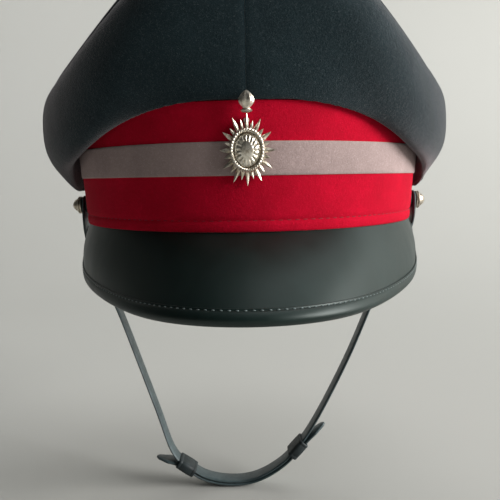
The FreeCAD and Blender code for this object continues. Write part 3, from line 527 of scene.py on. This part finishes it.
# The cloth's path from the band's top edge, over the rolled rim and in to the welt, as control points
# (outwards from the band, height) at the front, the sides and the back.
FRONT_PATH = [(0.9, 50.7), (1.5, 51), (2.7, 54.9), (8, 75), (13.5, 90), (17, 101), (15, 109), (8, 112)]
SIDE_PATH = [(2.1, 51), (2.4, 27), (0.5, 7.8), (8.1, 24), (13.6, 33), (15.1, 43), (14, 61.3), (7, 64.3)]
BACK_PATH = [(1.9, 50.9), (2.6, 44), (4.5, 33), (13, 34), (18.5, 45), (19.5, 54.5), (16.5, 61.5),
             (9.5, 64.5)]
LOW_POINTS = 3  # these hang over the band, and the rest make the rolled rim and the welt
HANG_SHARE, HANG_SPREAD, EAR_SPREAD = 0.67, 1.62, 17  # a broad hang plus a narrow one at the ears
HIGH_SPREAD = 2.29  # how narrow the high fronts of the rim and the welt are
HUMP_TURN = 0.026  # the front rises highest a little to the wearer's left
LEAN = 1.3  # the crown leans to the wearer's right
LEAN_SHARE = (0, 0, 0.2, 1.5, 1.15, 1, 1, 1)  # at each control point
WELT_RADIUS = 1.6
WELT_TUCK = 0.8 * WELT_RADIUS  # how far the cloth goes in under the welt
TOP_CENTRE = 97.0
TOP_WIDTH, TOP_LENGTH = HALF_WIDTH + FLARE * BAND_TOP, HALF_LENGTH + FLARE * BAND_TOP


def crown_path(theta, samples):
    """The cloth's path at each angle, (angle, sample, (outwards, height))."""
    across = np.abs(np.cos(theta))
    low = HANG_SHARE * across**HANG_SPREAD + (1 - HANG_SHARE) * across**EAR_SPREAD
    high = 1 - np.abs(np.sin(theta - HUMP_TURN)) ** (2 * HIGH_SPREAD)
    share = np.stack([low] * LOW_POINTS + [high] * (len(SIDE_PATH) - LOW_POINTS), axis=1)[..., None]
    end = np.where(np.sin(theta)[:, None, None] < 0, np.array(FRONT_PATH), np.array(BACK_PATH))
    poles = share * np.array(SIDE_PATH) + (1 - share) * end
    poles[..., 0] -= LEAN * np.cos(theta)[:, None] * np.array(LEAN_SHARE)
    return np.einsum("sk,nkc->nsc", spline_basis(len(SIDE_PATH), samples), poles)


def crown_point(theta, outward, height):
    """Points outwards from the band's top edge, squarely to it, (angle, sample, xyz)."""
    x, y = np.cos(theta)[:, None], np.sin(theta)[:, None]
    square = unit(np.stack([x * TOP_LENGTH, y * TOP_WIDTH], axis=-1))
    flat = np.stack([x * TOP_WIDTH, y * TOP_LENGTH], axis=-1) + square * outward[..., None]
    return np.concatenate([flat, height[..., None]], axis=-1)


def crown_sheet(theta, path, depths):
    """Sections of a sheet between two depths in from a path on the crown."""
    along = unit(np.gradient(path, axis=1))
    inward = np.stack([-along[..., 1], along[..., 0]], axis=-1)
    faces = []
    for depth in depths:
        spot = path + inward * np.asarray(depth)[..., None]
        faces.append(crown_point(theta, spot[..., 0], spot[..., 1]))
    return two_faced(*faces)


def make_interlining():
    """The buckram that keeps the front up, just inside the cloth."""
    theta = np.linspace(math.radians(240), math.radians(300), 60)
    path = crown_path(theta, np.linspace(0.16, 0.72, 40))
    sections = crown_sheet(theta, path, (WOOL + 0.9, WOOL + 1.7))
    swept("front_buckram", sections, CANVAS, stands_for="front_interlining")


def crown_quarter(side, first, last):
    """A panel of crown cloth between two seams, with waves, a puckered welt and dips at the seams."""
    gap, edge = 0.0003, 0.006
    theta = np.linspace(first + gap, last - gap, 130)
    theta = np.insert(theta, (1, -1), (first + gap + edge, last - gap - edge))
    fine = crown_path(theta, np.linspace(0, 1, 240))
    run = run_along(fine)
    rise = np.linspace(0, 1, 72)
    path = [[np.interp(rise * (r[-1] - WELT_TUCK), r, f[:, k]) for k in (0, 1)]
            for r, f in zip(run, fine)]
    path = np.array(path).transpose(0, 2, 1)
    points = crown_point(theta, path[..., 0], path[..., 1])
    from_band, to_welt = rise * run[:, -1:], (1 - rise) * run[:, -1:]
    settled = np.clip(from_band / 12, 0, 1) * np.clip(to_welt / 4, 0, 1)
    depth = -0.75 * wobble(points, 46, 3) * settled - 0.16 * wobble(points, 13, 4) * settled
    pucker = np.sin(theta * 97 + 2.0 * np.sin(theta * 13))[:, None]
    depth = depth + 0.13 * pucker * np.exp(-to_welt / 5) * np.clip(to_welt / 1.5, 0, 1)
    for seam in (first, last):
        away = np.abs(theta - seam)[:, None] * np.linalg.norm(points[..., :2], axis=-1)
        ridge = np.exp(-(((away - 3.2) / 1.7) ** 2))  # raised by the seam's turned edges
        depth = depth + 0.14 * (np.exp(-(away**2)) - 0.45 * ridge)
    sections = crown_sheet(theta, path, (depth, depth + WOOL))
    swept(f"crown_{side}", sections, NAVY, stands_for=f"quarter_{side}")


def welt_line(inset=0.0):
    path = crown_path(ROUND, [1.0])
    return crown_point(ROUND, path[..., 0] - inset, path[..., 1])[:, 0]


def make_top_panel():
    """The crown's oval top, hung from its rim and sunk a little round the edge."""
    rim = welt_line(WELT_TUCK)
    share = np.concatenate([np.linspace(1, 0.93, 10), np.linspace(0.91, 0.02, 44)])
    height = TOP_CENTRE + (rim[:, None, 2] - TOP_CENTRE) * share**2
    points = np.stack([rim[:, None, 0] * share, rim[:, None, 1] * share, height], axis=-1)
    inside = (1 - share) * np.linalg.norm(rim[:, :2], axis=1)[:, None]
    settled = np.clip(inside / 14, 0, 1)
    pucker = np.sin(ROUND * 83 + 1.7 * np.sin(ROUND * 11))[:, None]
    lift = 1.1 * wobble(points, 62, 5) * settled + 0.22 * wobble(points, 15, 6) * settled
    lift = lift + 0.14 * pucker * np.exp(-inside / 5) - 0.55 * np.exp(-(((inside - 1.5) / 2.2) ** 2))
    points[..., 2] += lift
    disc("top_panel", points, points - (0, 0, WOOL), NAVY, stands_for="crown_top_panel")


def make_crown():
    for number, side in enumerate(("rear_left", "rear_right", "front_right", "front_left")):
        crown_quarter(side, number * math.pi / 2, (number + 1) * math.pi / 2)
    make_top_panel()
    make_interlining()
    tube_ring("welt_piping", welt_line(), WELT_RADIUS, NAVY, stands_for="crown_welt")


make_crown()

# ---- inside of the band and lining

SWEATBAND_FACE = -5.6
SWEATBAND_BACK = SWEATBAND_FACE - 1.2  # the side that touches the head
TAB_HALF_WIDTH = 6.5
LINING_FOOT, LINING_SEAM, LINING_RISE = 46.0, 62.0, 38.0
LINING_WIDTH = HALF_WIDTH + FLARE * LINING_FOOT - 3.3
LINING_LENGTH = HALF_LENGTH + FLARE * LINING_FOOT - 3.3


def lining_face(theta, height, inset):
    """Points on the lining's dome at angles and heights, inset from its outer face."""
    theta, height = np.broadcast_arrays(theta, height)
    up = (height - LINING_FOOT) / LINING_RISE
    share = np.sqrt(1 - up**2)
    x = (LINING_WIDTH - inset) * share * np.cos(theta)
    y = (LINING_LENGTH - inset) * share * np.sin(theta)
    return np.stack([x, y, LINING_FOOT + (LINING_RISE - inset) * up], axis=-1)


def make_inside():
    rise = np.linspace(0.4, BAND_TOP - 0.4, 12)
    path = [(-1.4, 0.1)] + [(-1.2, z) for z in rise] + [(-1.4, BAND_TOP)]
    band_ring("buckram_wall", path, 1.8, CANVAS, ((30, 0.1, 7),), 0, stands_for="band_foundation")

    out, top = SWEATBAND_FACE, SWEATBAND_TOP
    path = [(out - 0.45, 0.05), (out - 0.12, 0.4)] + [(out, z) for z in np.linspace(1.2, top - 1, 20)]
    path += [(out - 0.1, top - 0.35), (out - 0.4, top)]
    band_ring("leather_sweatband", path, SWEATBAND_FACE - SWEATBAND_BACK, TAN,
              ((30, 0.35, 8), (9, 0.08, 9)), 0, stands_for="sweatband")
    for name, height in (("sweatband_seam", 4.2), ("sweatband_edge_seam", top - 3.0)):
        line = oval(ROUND, SWEATBAND_BACK, height)
        stitch_row(name, line, -outwards(ROUND), 3.6, 2.5, 0.22, TAN_THREAD, loop=True,
                   slot="tan_leather")
    make_back_tab()
    tube_ring("reed", oval(ROUND, -4.2, 1.1), 1.0, CORD, 10, (220, 2, 0.10),
              stands_for="sweatband_reed")

    theta = around(720)[:, None]
    height = np.linspace(LINING_FOOT, LINING_SEAM, 14)
    slack = np.clip((height - LINING_FOOT) / 14, 0, 1) ** 1.5
    gather = 0.45 * np.sin(theta * 64 + 2.2 * np.sin(theta * 9)) * slack
    outer, inner = (lining_face(theta, height, inset + gather) for inset in (0.6, 1.2))
    swept("lining_wall", two_faced(outer, inner), SATIN, closed=True, stands_for="lining_side")
    make_lining_tip()


def make_back_tab():
    """The strip of leather that covers the sweatband's join at the back."""
    across = np.linspace(-TAB_HALF_WIDTH, TAB_HALF_WIDTH, 14)[:, None]
    height = np.linspace(1.0, SWEATBAND_TOP + 0.4, 24)
    theta = BACK_SEAM + across / HALF_WIDTH
    edge = np.clip(TAB_HALF_WIDTH - np.abs(across), 0, 1) ** 0.5
    faces = (oval(theta, SWEATBAND_BACK - depth, height) for depth in (0.04, 0.25 + 0.65 * edge))
    swept("sweatband_tab", two_faced(*faces), TAN)
    for name, at in (("tab_stitches_left", 4.8), ("tab_stitches_right", -4.8)):
        turn = np.full(24, BACK_SEAM + at / HALF_WIDTH)
        line = oval(turn, SWEATBAND_BACK - 0.95, np.linspace(3, SWEATBAND_TOP - 3, 24))
        stitch_row(name, line, -outwards(turn), 3.0, 2.1, 0.2, TAN_THREAD, slot="tan_leather")


def lining_sheet(theta, share, inset):
    """The lining's top: a grid of angles and shares of the way out to its seam."""
    level = (LINING_SEAM + 0.1 - LINING_FOOT) / LINING_RISE
    reach = share * math.sqrt(1 - level**2)
    points = lining_face(theta, LINING_FOOT + LINING_RISE * np.sqrt(1 - reach**2), inset)
    points[..., 2] -= 0.35 * wobble(points, 30, 11)
    return points


def make_lining_tip():
    theta = around(240)
    share = np.concatenate([[1.0, 0.995], np.linspace(0.98, 0.02, 34)])
    faces = (lining_sheet(theta[:, None], share, inset) for inset in (0.0, 0.6))
    disc("lining_crown", *faces, SATIN, stands_for="lining_tip")
    line = lining_sheet(theta, 0.985, 0.7)
    down = np.tile([0.0, 0.0, -1.0], (len(line), 1))
    stitch_row("lining_seam_stitches", line, down, 4.0, 2.8, 0.2, DARK_THREAD, loop=True,
               slot="lining_cloth")

    half_diagonal = 42.0
    reach = half_diagonal / (np.abs(np.cos(theta)) + np.abs(np.sin(theta)))
    reach = reach * (1 - 0.05 * np.abs(np.cos(2 * theta)) ** 12)
    share = np.concatenate([[1.0, 0.99], np.linspace(0.96, 0.02, 22)])
    x, y = ((reach * wave)[:, None] * share for wave in (np.cos(theta), np.sin(theta)))
    faces = []
    for inset in (0.8, 1.2):
        far = (x / (LINING_WIDTH - inset)) ** 2 + (y / (LINING_LENGTH - inset)) ** 2
        z = LINING_FOOT + (LINING_RISE - inset) * np.sqrt(1 - far)
        points = np.stack([x, y, z], axis=-1)
        points[..., 2] -= 0.35 * wobble(points, 30, 11)
        faces.append(points)
    disc("sweat_film", *faces, FILM, stands_for="sweat_patch")


make_inside()

# ---- peak

PEAK_FIRST, PEAK_LAST = math.radians(188), math.radians(352)
PEAK_UNDER = 3.4  # the depth that the binding reaches under
BINDING_WIDTH = 4.6
PEAK_BULGE = 1.7  # how far the peak swells between its root and its edge
PEAK_ROOT = (-0.6, -0.2)  # from the band's lower edge: outwards, up


def peak_turns(count):
    """Angles along the peak, closer together at its two ends."""
    share = np.linspace(0, 1, count)
    return PEAK_FIRST + (PEAK_LAST - PEAK_FIRST) * (share - 0.12 * np.sin(2 * math.pi * share))


def peak_outline(theta):
    """The peak's edge from its root, outwards and down, and the angle to its nearer end in degrees."""
    s = np.abs(np.sin(theta))
    from_end = np.degrees(np.minimum(theta - PEAK_FIRST, PEAK_LAST - theta))
    out = 2 + 9 * s**2 + 23 * s**8
    down = 26.4 + 1.2 * s**2 + 3.2 * (s * np.sin(2 * theta)) ** 2 - 19 * np.exp(-from_end / 6)
    return out - PEAK_ROOT[0], down + PEAK_ROOT[1], from_end


def peak_length(theta):
    """How long the peak is at each angle, from its root to its edge."""
    out, down, _ = peak_outline(theta[:, None])
    return np.hypot(out, down)


def peak_surface(theta, distance, above):
    """Points on the peak at a distance from its root and a height above its face."""
    theta = theta[:, None]
    distance, above = np.broadcast_arrays(np.atleast_2d(distance), np.atleast_2d(above))
    out, down, from_end = peak_outline(theta)
    length = np.hypot(out, down)
    share = np.clip(distance / length, 0, 1)
    lift = above + PEAK_BULGE * np.sin(math.pi * share) * np.clip(from_end / 12, 0.15, 1)
    outward = PEAK_ROOT[0] + (out * distance + down * lift) / length
    height = PEAK_ROOT[1] + (out * lift - down * distance) / length
    base = oval(theta, 0, 0)
    points = base + outwards(theta) * outward[..., None]
    points[..., 2] = height
    return points


def peak_layer(name, depths, finish, **facts):
    """One layer of the peak, between two depths below its face."""
    theta = peak_turns(230)
    travel = np.linspace(0, 1, 26) * peak_length(theta)
    faces = (peak_surface(theta, travel, -depth) for depth in depths)
    swept(name, two_faced(*faces), finish, **facts)


def make_binding():
    """The strip folded over the peak's edge, sunk along its stitches."""
    width, under = BINDING_WIDTH, -PEAK_UNDER
    outer = [
        (-width + 0.05, 0.03), (-width - 0.12, 0.28), (-width + 0.1, 0.62), (-width + 0.5, 0.70),
        (-width + 0.95, 0.36), (-width + 1.4, 0.72), (-2.2, 0.82), (-0.9, 0.74), (0.1, 0.42),
        (0.7, -0.4), (0.85, under / 2), (0.7, under + 0.4), (0.1, under - 0.3), (-0.9, under - 0.52),
        (-2.4, under - 0.52), (-width + 0.6, under - 0.48), (-width - 0.1, under - 0.3),
        (-width + 0.1, under - 0.05),
    ]
    inner = [(-width + 0.6, under - 0.03), (0.06, under - 0.03), (0.06, 0.03), (-width + 0.6, 0.03)]
    loop = np.concatenate([spline(outer, np.linspace(0, 1, 60)), inner])
    theta = peak_turns(260)
    sections = peak_surface(theta, peak_length(theta) + loop[:, 0], loop[None, :, 1])
    swept("peak_edge_binding", sections, PATENT, stands_for="peak_binding")
    theta = peak_turns(400)[6:-6]
    away = peak_length(theta) - width + 0.95
    rows = (("binding_stitches", 0.42, 1), ("binding_stitches_under", under - 0.54, -1))
    for name, above, sign in rows:
        line, beyond = (peak_surface(theta, away, level)[:, 0] for level in (above, above + sign))
        stitch_row(name, line, beyond - line, 2.9, 1.5, 0.27, DARK_THREAD, slot="patent_leather")


def make_peak_tuck():
    """The peak's inner edge, turned in under the band where it is sewn on."""
    theta = peak_turns(230)
    offset, height = np.array([(-3.0, -0.10), (-0.62, -0.10), (-0.62, -0.8), (-3.0, -0.8)]).T
    swept("peak_seam_edge", oval(theta[:, None], offset, height), PATENT)


def make_peak():
    peak_layer("peak_top_leather", (0.0, 1.0), PATENT, stands_for="peak_cover")
    peak_layer("peak_stiffener", (1.1, 2.4), FIBRE, stands_for="peak_core")
    peak_layer("peak_under_leather", (2.5, 3.3), BLACK, stands_for="peak_lining")
    make_binding()
    make_peak_tuck()


make_peak()

# ---- chin strap

STRAP_X = 88.9  # where the strap's ends hang, each side of the middle
# Each keeper's place (across, height), its slope in degrees and the way to the chin.
KEEPERS = {"left": ((-37.2, -139.9), 34, 1), "right": ((24.6, -130.3), 48, -1)}
TOP_OF_TAB = BUTTON_Z + STRAP_WIDTH / 2


def along_keeper(side, distances, aside=0.0):
    """Points (across, height) on the straight stretch at a keeper."""
    (x, z), slope, inwards = KEEPERS[side]
    turn = math.radians(slope)
    run = (inwards * math.cos(turn), -math.sin(turn))
    outer = (-inwards * math.sin(turn), -math.cos(turn))
    return [(x + run[0] * d + outer[0] * aside, z + run[1] * d + outer[1] * aside) for d in distances]


INNER_ROUTE = (
    [(-STRAP_X, TOP_OF_TAB), (-STRAP_X, 4), (-STRAP_X, -4), (-86.6, -17), (-80.2, -32), (-72.6, -49),
     (-66.6, -67), (-60.4, -85), (-54.8, -102), (-50, -117), (-47.2, -127)]
    + along_keeper("left", (-7, 0, 6, 12))
    + [(-15, -149.6), (1.5, -148.9)]
    + along_keeper("right", (12, 6, 0, -7))
    + [(35.6, -114.5), (42.4, -101.5), (50.2, -86), (57.9, -69), (64.6, -52), (72.6, -34),
       (82.2, -18), (STRAP_X, -4), (STRAP_X, 4), (STRAP_X, TOP_OF_TAB)]
)
OUTER_ASIDE = STRAP_THICKNESS + STRAP_GAP
OUTER_ROUTE = (
    [(-54.6, -135.2), (-49.6, -136.9)]
    + along_keeper("left", (-6.4, 0, 6, 12), OUTER_ASIDE)
    + [(-15.4, -151.3), (2.4, -150.5)]
    + along_keeper("right", (12, 6, 0, -6.4), OUTER_ASIDE)
    + [(35.4, -121.4), (40.6, -117)]
)


def strap_section(half_width, half_thickness):
    """The strap's outline in (across, out): soft edges with a creased line just inside them."""
    rim = half_thickness * 0.75
    side = [(half_width - 1.7, half_thickness), (half_width - 1.25, half_thickness - 0.16),
            (half_width - 0.8, half_thickness), (half_width - 0.25, rim), (half_width, 0),
            (half_width - 0.25, -rim), (half_width - 0.8, -half_thickness)]
    other = [(-a, o) for a, o in reversed(side)]
    swell = [(a, half_thickness + 0.10 * (1 - (a / half_width) ** 2))
             for a in np.linspace(-2.4, 2.4, 5)]
    return np.array(side + [(0.0, -half_thickness)] + other + swell)


def make_strap(name, route, end_radius, tip_half_width, **facts):
    """A flat strap along a route in the buttons' upright plane."""
    line = spline(route, np.linspace(0, 1, 420))
    ahead = unit(np.gradient(line, axis=0))
    outer = np.stack([ahead[:, 1], -ahead[:, 0]], axis=-1)
    run = run_along(line)
    from_end = np.minimum(run, run[-1] - run)
    near = np.clip(from_end / end_radius, 0, 1)
    half = STRAP_WIDTH / 2
    if tip_half_width:
        width = tip_half_width + (half - tip_half_width) * near
        width = width * np.clip(from_end / 1.2, 0, 1) ** 0.5
    else:
        width = half * np.sqrt(1 - (1 - near) ** 2)
    share = np.maximum(width, 0.5)[:, None] / half
    sag = 0.10 * wobble(np.stack([line[:, 0], 0 * run, line[:, 1]], axis=-1), 24, 12)
    across, out = strap_section(half, STRAP_THICKNESS / 2).T
    out = out * (0.55 + 0.45 * np.minimum(from_end / 1.5, 1))[:, None] + sag[:, None]
    spot = line[:, None] + outer[:, None] * out[..., None]
    rows = np.stack([spot[..., 0], BUTTON_Y + across * share, spot[..., 1]], axis=-1)
    swept(name, rows, STRAP, body="chinstrap", **facts)


def make_keeper(side):
    """A leather loop round both layers of the strap, with a raised edge on each side."""
    (x, z), (next_x, next_z) = along_keeper(side, (0, 1), OUTER_ASIDE / 2)
    run, wide = np.array([next_x - x, 0, next_z - z]), np.array([0, 1.0, 0])
    corner = 0.9
    turn = np.radians([start + 15 * i for start in (0, 90, 180, 270) for i in range(7)])
    normal = np.stack([np.cos(turn), np.sin(turn)], axis=-1)
    half = np.array([STRAP_WIDTH / 2, STRAP_THICKNESS + STRAP_GAP / 2]) + 0.35 - corner
    centre = np.repeat([(1, 1), (-1, 1), (-1, -1), (1, -1)], 7, axis=0) * half
    rim = [(5.5, 0.12), (5.42, 0.62), (5.0, 0.88), (3.9, 0.92), (3.6, 0.78), (3.3, 0.95)]
    wall = [(-d, h) for d, h in rim] + [(0, 1)] + rim[::-1] + [(5.2, 0), (0, 0), (-5.2, 0)]
    length, height = np.array(wall).T[..., None]
    at = centre[:, None] + normal[:, None] * (corner + height)
    rows = run * length + wide * at[..., :1] + np.cross(run, wide) * at[..., 1:] + (x, BUTTON_Y, z)
    swept(f"keeper_loop_{side}", rows, BLACK, closed=True, body=f"keeper_{side}",
          stands_for=f"keeper_{side}")


def make_buttons():
    radius = BUTTON_RADIUS
    profile = [(0.80, 1.0), (0.86, 1.45), (0.93, 1.3), (0.99, 1.45), (1.0, 1.75), (0.965, 2.1),
               (0.90, 2.2), (0.86, 2.05), (0.80, 2.35), (0.74, 3.0), (0.64, 3.7), (0.5, 4.35),
               (0.34, 4.9), (0.18, 5.22), (0.06, 5.36)]
    profile = [(0.02, 1.0)] + [(r * radius, d) for r, d in profile] + [(0.02, 5.38)]
    on_rim = np.array(profile)[:, :1] > 0.88 * radius
    rope = 0.012 * np.cos(around(108) * 36) * on_rim
    for side, sign in (("left", 1), ("right", -1)):
        seat = node_box(f"button_dome_{side}")[0 if sign > 0 else 1][0] - sign
        turned(f"button_{side}", profile, (seat, BUTTON_Y, BUTTON_Z), (sign, 0, 0), BUTTON_METAL, 108,
               rope, stands_for=f"button_dome_{side}", slot="white_metal")
        washer = node_box(f"button_washer_{side}")
        near = np.abs(washer[:, 0]).min()
        thick, _, across = np.ptp(washer, axis=0)
        outer, bore = across / 2, 1.65
        ring = [(bore, 0.1), (outer - 0.25, 0.02), (outer, 0.3), (outer, thick - 0.35),
                (outer - 0.3, thick), (bore, thick - 0.05)]
        turned(f"washer_{side}", ring, (sign * near, BUTTON_Y, BUTTON_Z), (sign, 0, 0), BLACK, 64,
               ring=True, stands_for=f"button_washer_{side}", slot="washer_leather")


make_strap("strap_under_chin", INNER_ROUTE, STRAP_WIDTH / 2, 0, stands_for="chinstrap_inner")
make_strap("strap_outer_layer", OUTER_ROUTE, 7.0, 1.6, stands_for="chinstrap_outer")
for keeper_side in ("left", "right"):
    make_keeper(keeper_side)
make_buttons()

# ---- badge

BADGE_LEVEL = 35.0  # the height on the band that the badge is built round
BADGE_FACE = -(HALF_LENGTH + FLARE * BADGE_LEVEL)
BADGE_DROP = 3.2  # from that level down to the middle of the rays
RAY_WIDTH, RAY_HEIGHT = 10.8, 13.8
STANDOFF = 1.3  # from the band's face to the plate
PLATE = 1.2
RING_SHARE = 0.55  # of the rays' reach
RAYS = 24
RAY_ROOT = 0.56  # where the hollows between the rays end


def on_badge(across, up, out):
    """Points in the badge's own frame, which leans with the band's flare."""
    lean = math.atan(FLARE)
    across, up, out = np.broadcast_arrays(across, up, out)
    y = BADGE_FACE - out * math.cos(lean) - up * math.sin(lean)
    z = BADGE_LEVEL + up * math.cos(lean) - out * math.sin(lean)
    return np.stack([across, y, z], axis=-1)


def make_rays():
    """A plate of ridged rays, every other one shorter."""
    turn = around(RAYS * 8)
    place = turn * RAYS / (2 * math.pi)
    away = np.minimum(place % 1, 1 - place % 1) * 2
    shorter = np.round(place).astype(int) % 2 == 1
    tip = np.where(shorter, 0.84, 1.0) * (1 + 0.025 * np.cos(turn * 3 + 1))
    reach = RAY_ROOT + (tip - RAY_ROOT) * (1 - away) ** 0.82
    share = np.concatenate([np.linspace(1.0, 0.55, 14), np.linspace(0.5, 0.1, 4)])
    fall = np.clip((share - 0.45) / 0.55, 0, 1)
    height = 0.40 + 1.05 * (1 - away)[:, None] * (1 - 0.55 * fall) + 0.30 * (1 - fall)
    across = RAY_WIDTH * reach[:, None] * share * np.sin(turn)[:, None]
    up = RAY_HEIGHT * reach[:, None] * share * np.cos(turn)[:, None] - BADGE_DROP
    front, back = (on_badge(across, up, STANDOFF + out) for out in (height, 0))
    disc("badge_sunburst", front, back, SILVER, stands_for="badge_rays")


def badge_ring(name, share, radius, out, lay=(0, 0, 0), **facts):
    """A ring on the badge: an oval line at a share of the rays' reach."""
    across, up = RAY_WIDTH * share * np.sin(ROUND), RAY_HEIGHT * share * np.cos(ROUND) - BADGE_DROP
    front = on_badge(0, 0, 1) - on_badge(0, 0, 0)
    tube_ring(name, on_badge(across, up, out), radius, SILVER, 14, lay, front, **facts)


def make_boss():
    """A fluted dome in the middle of the rope ring."""
    turn = around(192)[:, None]
    share = np.concatenate([np.linspace(1.0, 0.64, 14), np.linspace(0.6, 0.04, 10)])
    between_flutes = 1 - np.abs(np.sin(turn * 8)) ** 0.7
    rise = 2.4 * np.sqrt(1 - (share * 0.985) ** 2)
    rise = rise * (1 - 0.22 * np.clip((share - 0.5) / 0.12, 0, 1) * between_flutes)
    rise = rise - 0.22 * np.exp(-(((share - 0.52) / 0.035) ** 2))
    across = (RAY_WIDTH * RING_SHARE - 1.05) * share * np.sin(turn)
    up = (RAY_HEIGHT * RING_SHARE - 1.05) * share * np.cos(turn) - BADGE_DROP
    front, back = (on_badge(across, up, STANDOFF + PLATE + out) for out in (rise, 0))
    disc("badge_dome", front, back, SILVER, stands_for="badge_boss")


def make_finial():
    """A fluted bud on a collar above the rays."""
    low, high = node_box("badge_finial")
    tall = high[2] - low[2]
    profile = [(0.05, 0.0), (0.9, 0.02), (1.9, 0.25), (2.3, 0.75), (1.9, 1.25), (1.2, 1.5), (1.5, 2.0),
               (2.2, 2.9), (2.75, 4.0), (2.7, 5.1), (2.2, 6.2), (1.5, 7.1), (0.8, 7.8),
               (0.3, tall - 0.1), (0.04, tall)]
    radius, distance = np.array(profile).T[..., None]
    turn = around(60)
    radius = radius * (1 + 0.09 * np.cos(turn * 6) * np.clip((distance - 1.6) / 1.5, 0, 1))
    out = BADGE_FACE - (low[1] + high[1]) / 2 - 0.05 + 0.62 * radius * np.sin(turn)
    rows = on_badge(radius * np.cos(turn), low[2] + distance - BADGE_LEVEL, out)
    swept("badge_bud", rows, SILVER, stands_for="badge_finial")


make_rays()
badge_ring("badge_rope", RING_SHARE, 0.92, STANDOFF + PLATE + 0.75, (40, 3, 0.17),
           stands_for="badge_rope_ring")
badge_ring("badge_bead_line", 0.42, 0.32, STANDOFF + PLATE + 0.9)
make_boss()
make_finial()

CAD_FINISHES = {
    "button_back_left": BUTTON_METAL,
    "button_back_right": BUTTON_METAL,
    "button_pin_left": BRASS,
    "button_pin_right": BRASS,
    "badge_lugs": SILVER,
    "badge_pin": BRASS,
    "crown_grommet": STEEL,
    "front_stay": STIFF,
}
for cad_name, finish in CAD_FINISHES.items():
    cad_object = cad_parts[cad_name]
    cad_object.data.materials.clear()
    cad_object.data.materials.append(finish)

# ---- camera, stage and light


CAMERA_PLACE = Vector((0.8, -351.4, 21.5)) * MM  # an arm's length in front of the peak
YAW, PITCH, ROLL = (math.radians(a) for a in (-0.09, -6.55, -0.98))
SENSOR, LENS = 36, 45.72  # in mm
WALL, BEND, STAGE_REACH, WALL_TOP = 1.3, 0.7, 7.0, 4.0  # in metres, like the lights
LIGHTS = {
    # name: place, what it points at, (width, height), watts, colour
    "window_right": ((2.9, -0.78, 0.95), (0, 0, 0), (2.0, 1.9), 172, (1.0, 0.985, 0.96)),
    "ceiling": ((0.2, 0.3, 1.9), (0, 0.1, 0), (2.0, 2.0), 7, (1, 1, 1)),
    "wall_wash": ((0.7, 0.35, 1.5), (0.0, 1.3, -0.1), (1.8, 1.0), 11, (1, 1, 1)),
    "wall_wash_left": ((-0.75, 0.9, 1.1), (-0.7, 1.3, 0.55), (0.6, 0.5), 3.6, (1, 1, 1)),
}
SKY_COLOUR, SKY_STRENGTH = (0.88, 0.92, 0.90, 1), 0.048


def make_camera():
    lens = bpy.data.cameras.new("camera")
    lens.sensor_width, lens.lens, lens.clip_start = SENSOR, LENS, 0.01
    camera = placed("camera", lens)
    level = Matrix.Rotation(-YAW, 4, "Z") @ Matrix.Rotation(math.pi / 2 + PITCH, 4, "X")
    camera.matrix_world = Matrix.Translation(CAMERA_PLACE) @ level @ Matrix.Rotation(ROLL, 4, "Z")
    bpy.context.scene.camera = camera


def make_stage():
    """A pale floor that curves up into a backdrop behind the cap."""
    look = Finish("stage_paint", Roughness=0.9)
    tones = (0.3, (0.425, 0.428, 0.406)), (0.7, (0.45, 0.453, 0.432))
    look.colour(look.ramp(look.noise(600, detail=1), *tones))
    floor = cad_low[2] - 0.0005
    turns = [math.pi / 2 * i / 16 for i in range(17)]
    outline = [(-STAGE_REACH, floor)]
    outline += [(WALL - BEND + BEND * math.sin(t), floor + BEND - BEND * math.cos(t)) for t in turns]
    outline.append((WALL, WALL_TOP))
    points = [(x, y, z) for x in (-STAGE_REACH, STAGE_REACH) for y, z in outline]
    count = len(outline)
    faces = [(i, i + 1, count + i + 1, count + i) for i in range(count - 1)]
    mesh = bpy.data.meshes.new("backdrop")
    mesh.from_pydata(points, [], faces)
    mesh.materials.append(look.material)
    for face in mesh.polygons:
        face.use_smooth = True
    placed("backdrop", mesh)


def make_light():
    world = bpy.data.worlds.new("studio")
    bpy.context.scene.world = world
    world.use_nodes = True
    sky = world.node_tree.nodes["Background"]
    sky.inputs["Color"].default_value = SKY_COLOUR
    sky.inputs["Strength"].default_value = SKY_STRENGTH
    for name, (place, target, size, watts, colour) in LIGHTS.items():
        lamp = bpy.data.lights.new(name, "AREA")
        lamp.shape = "RECTANGLE"
        lamp.size, lamp.size_y = size
        lamp.energy, lamp.color = watts, colour
        holder = placed(name, lamp)
        holder.location = place
        holder.rotation_mode = "QUATERNION"
        holder.rotation_quaternion = (Vector(target) - Vector(place)).to_track_quat("-Z", "Y")


make_camera()
make_stage()
make_light()
bpy.context.scene.view_settings.view_transform = "Standard"
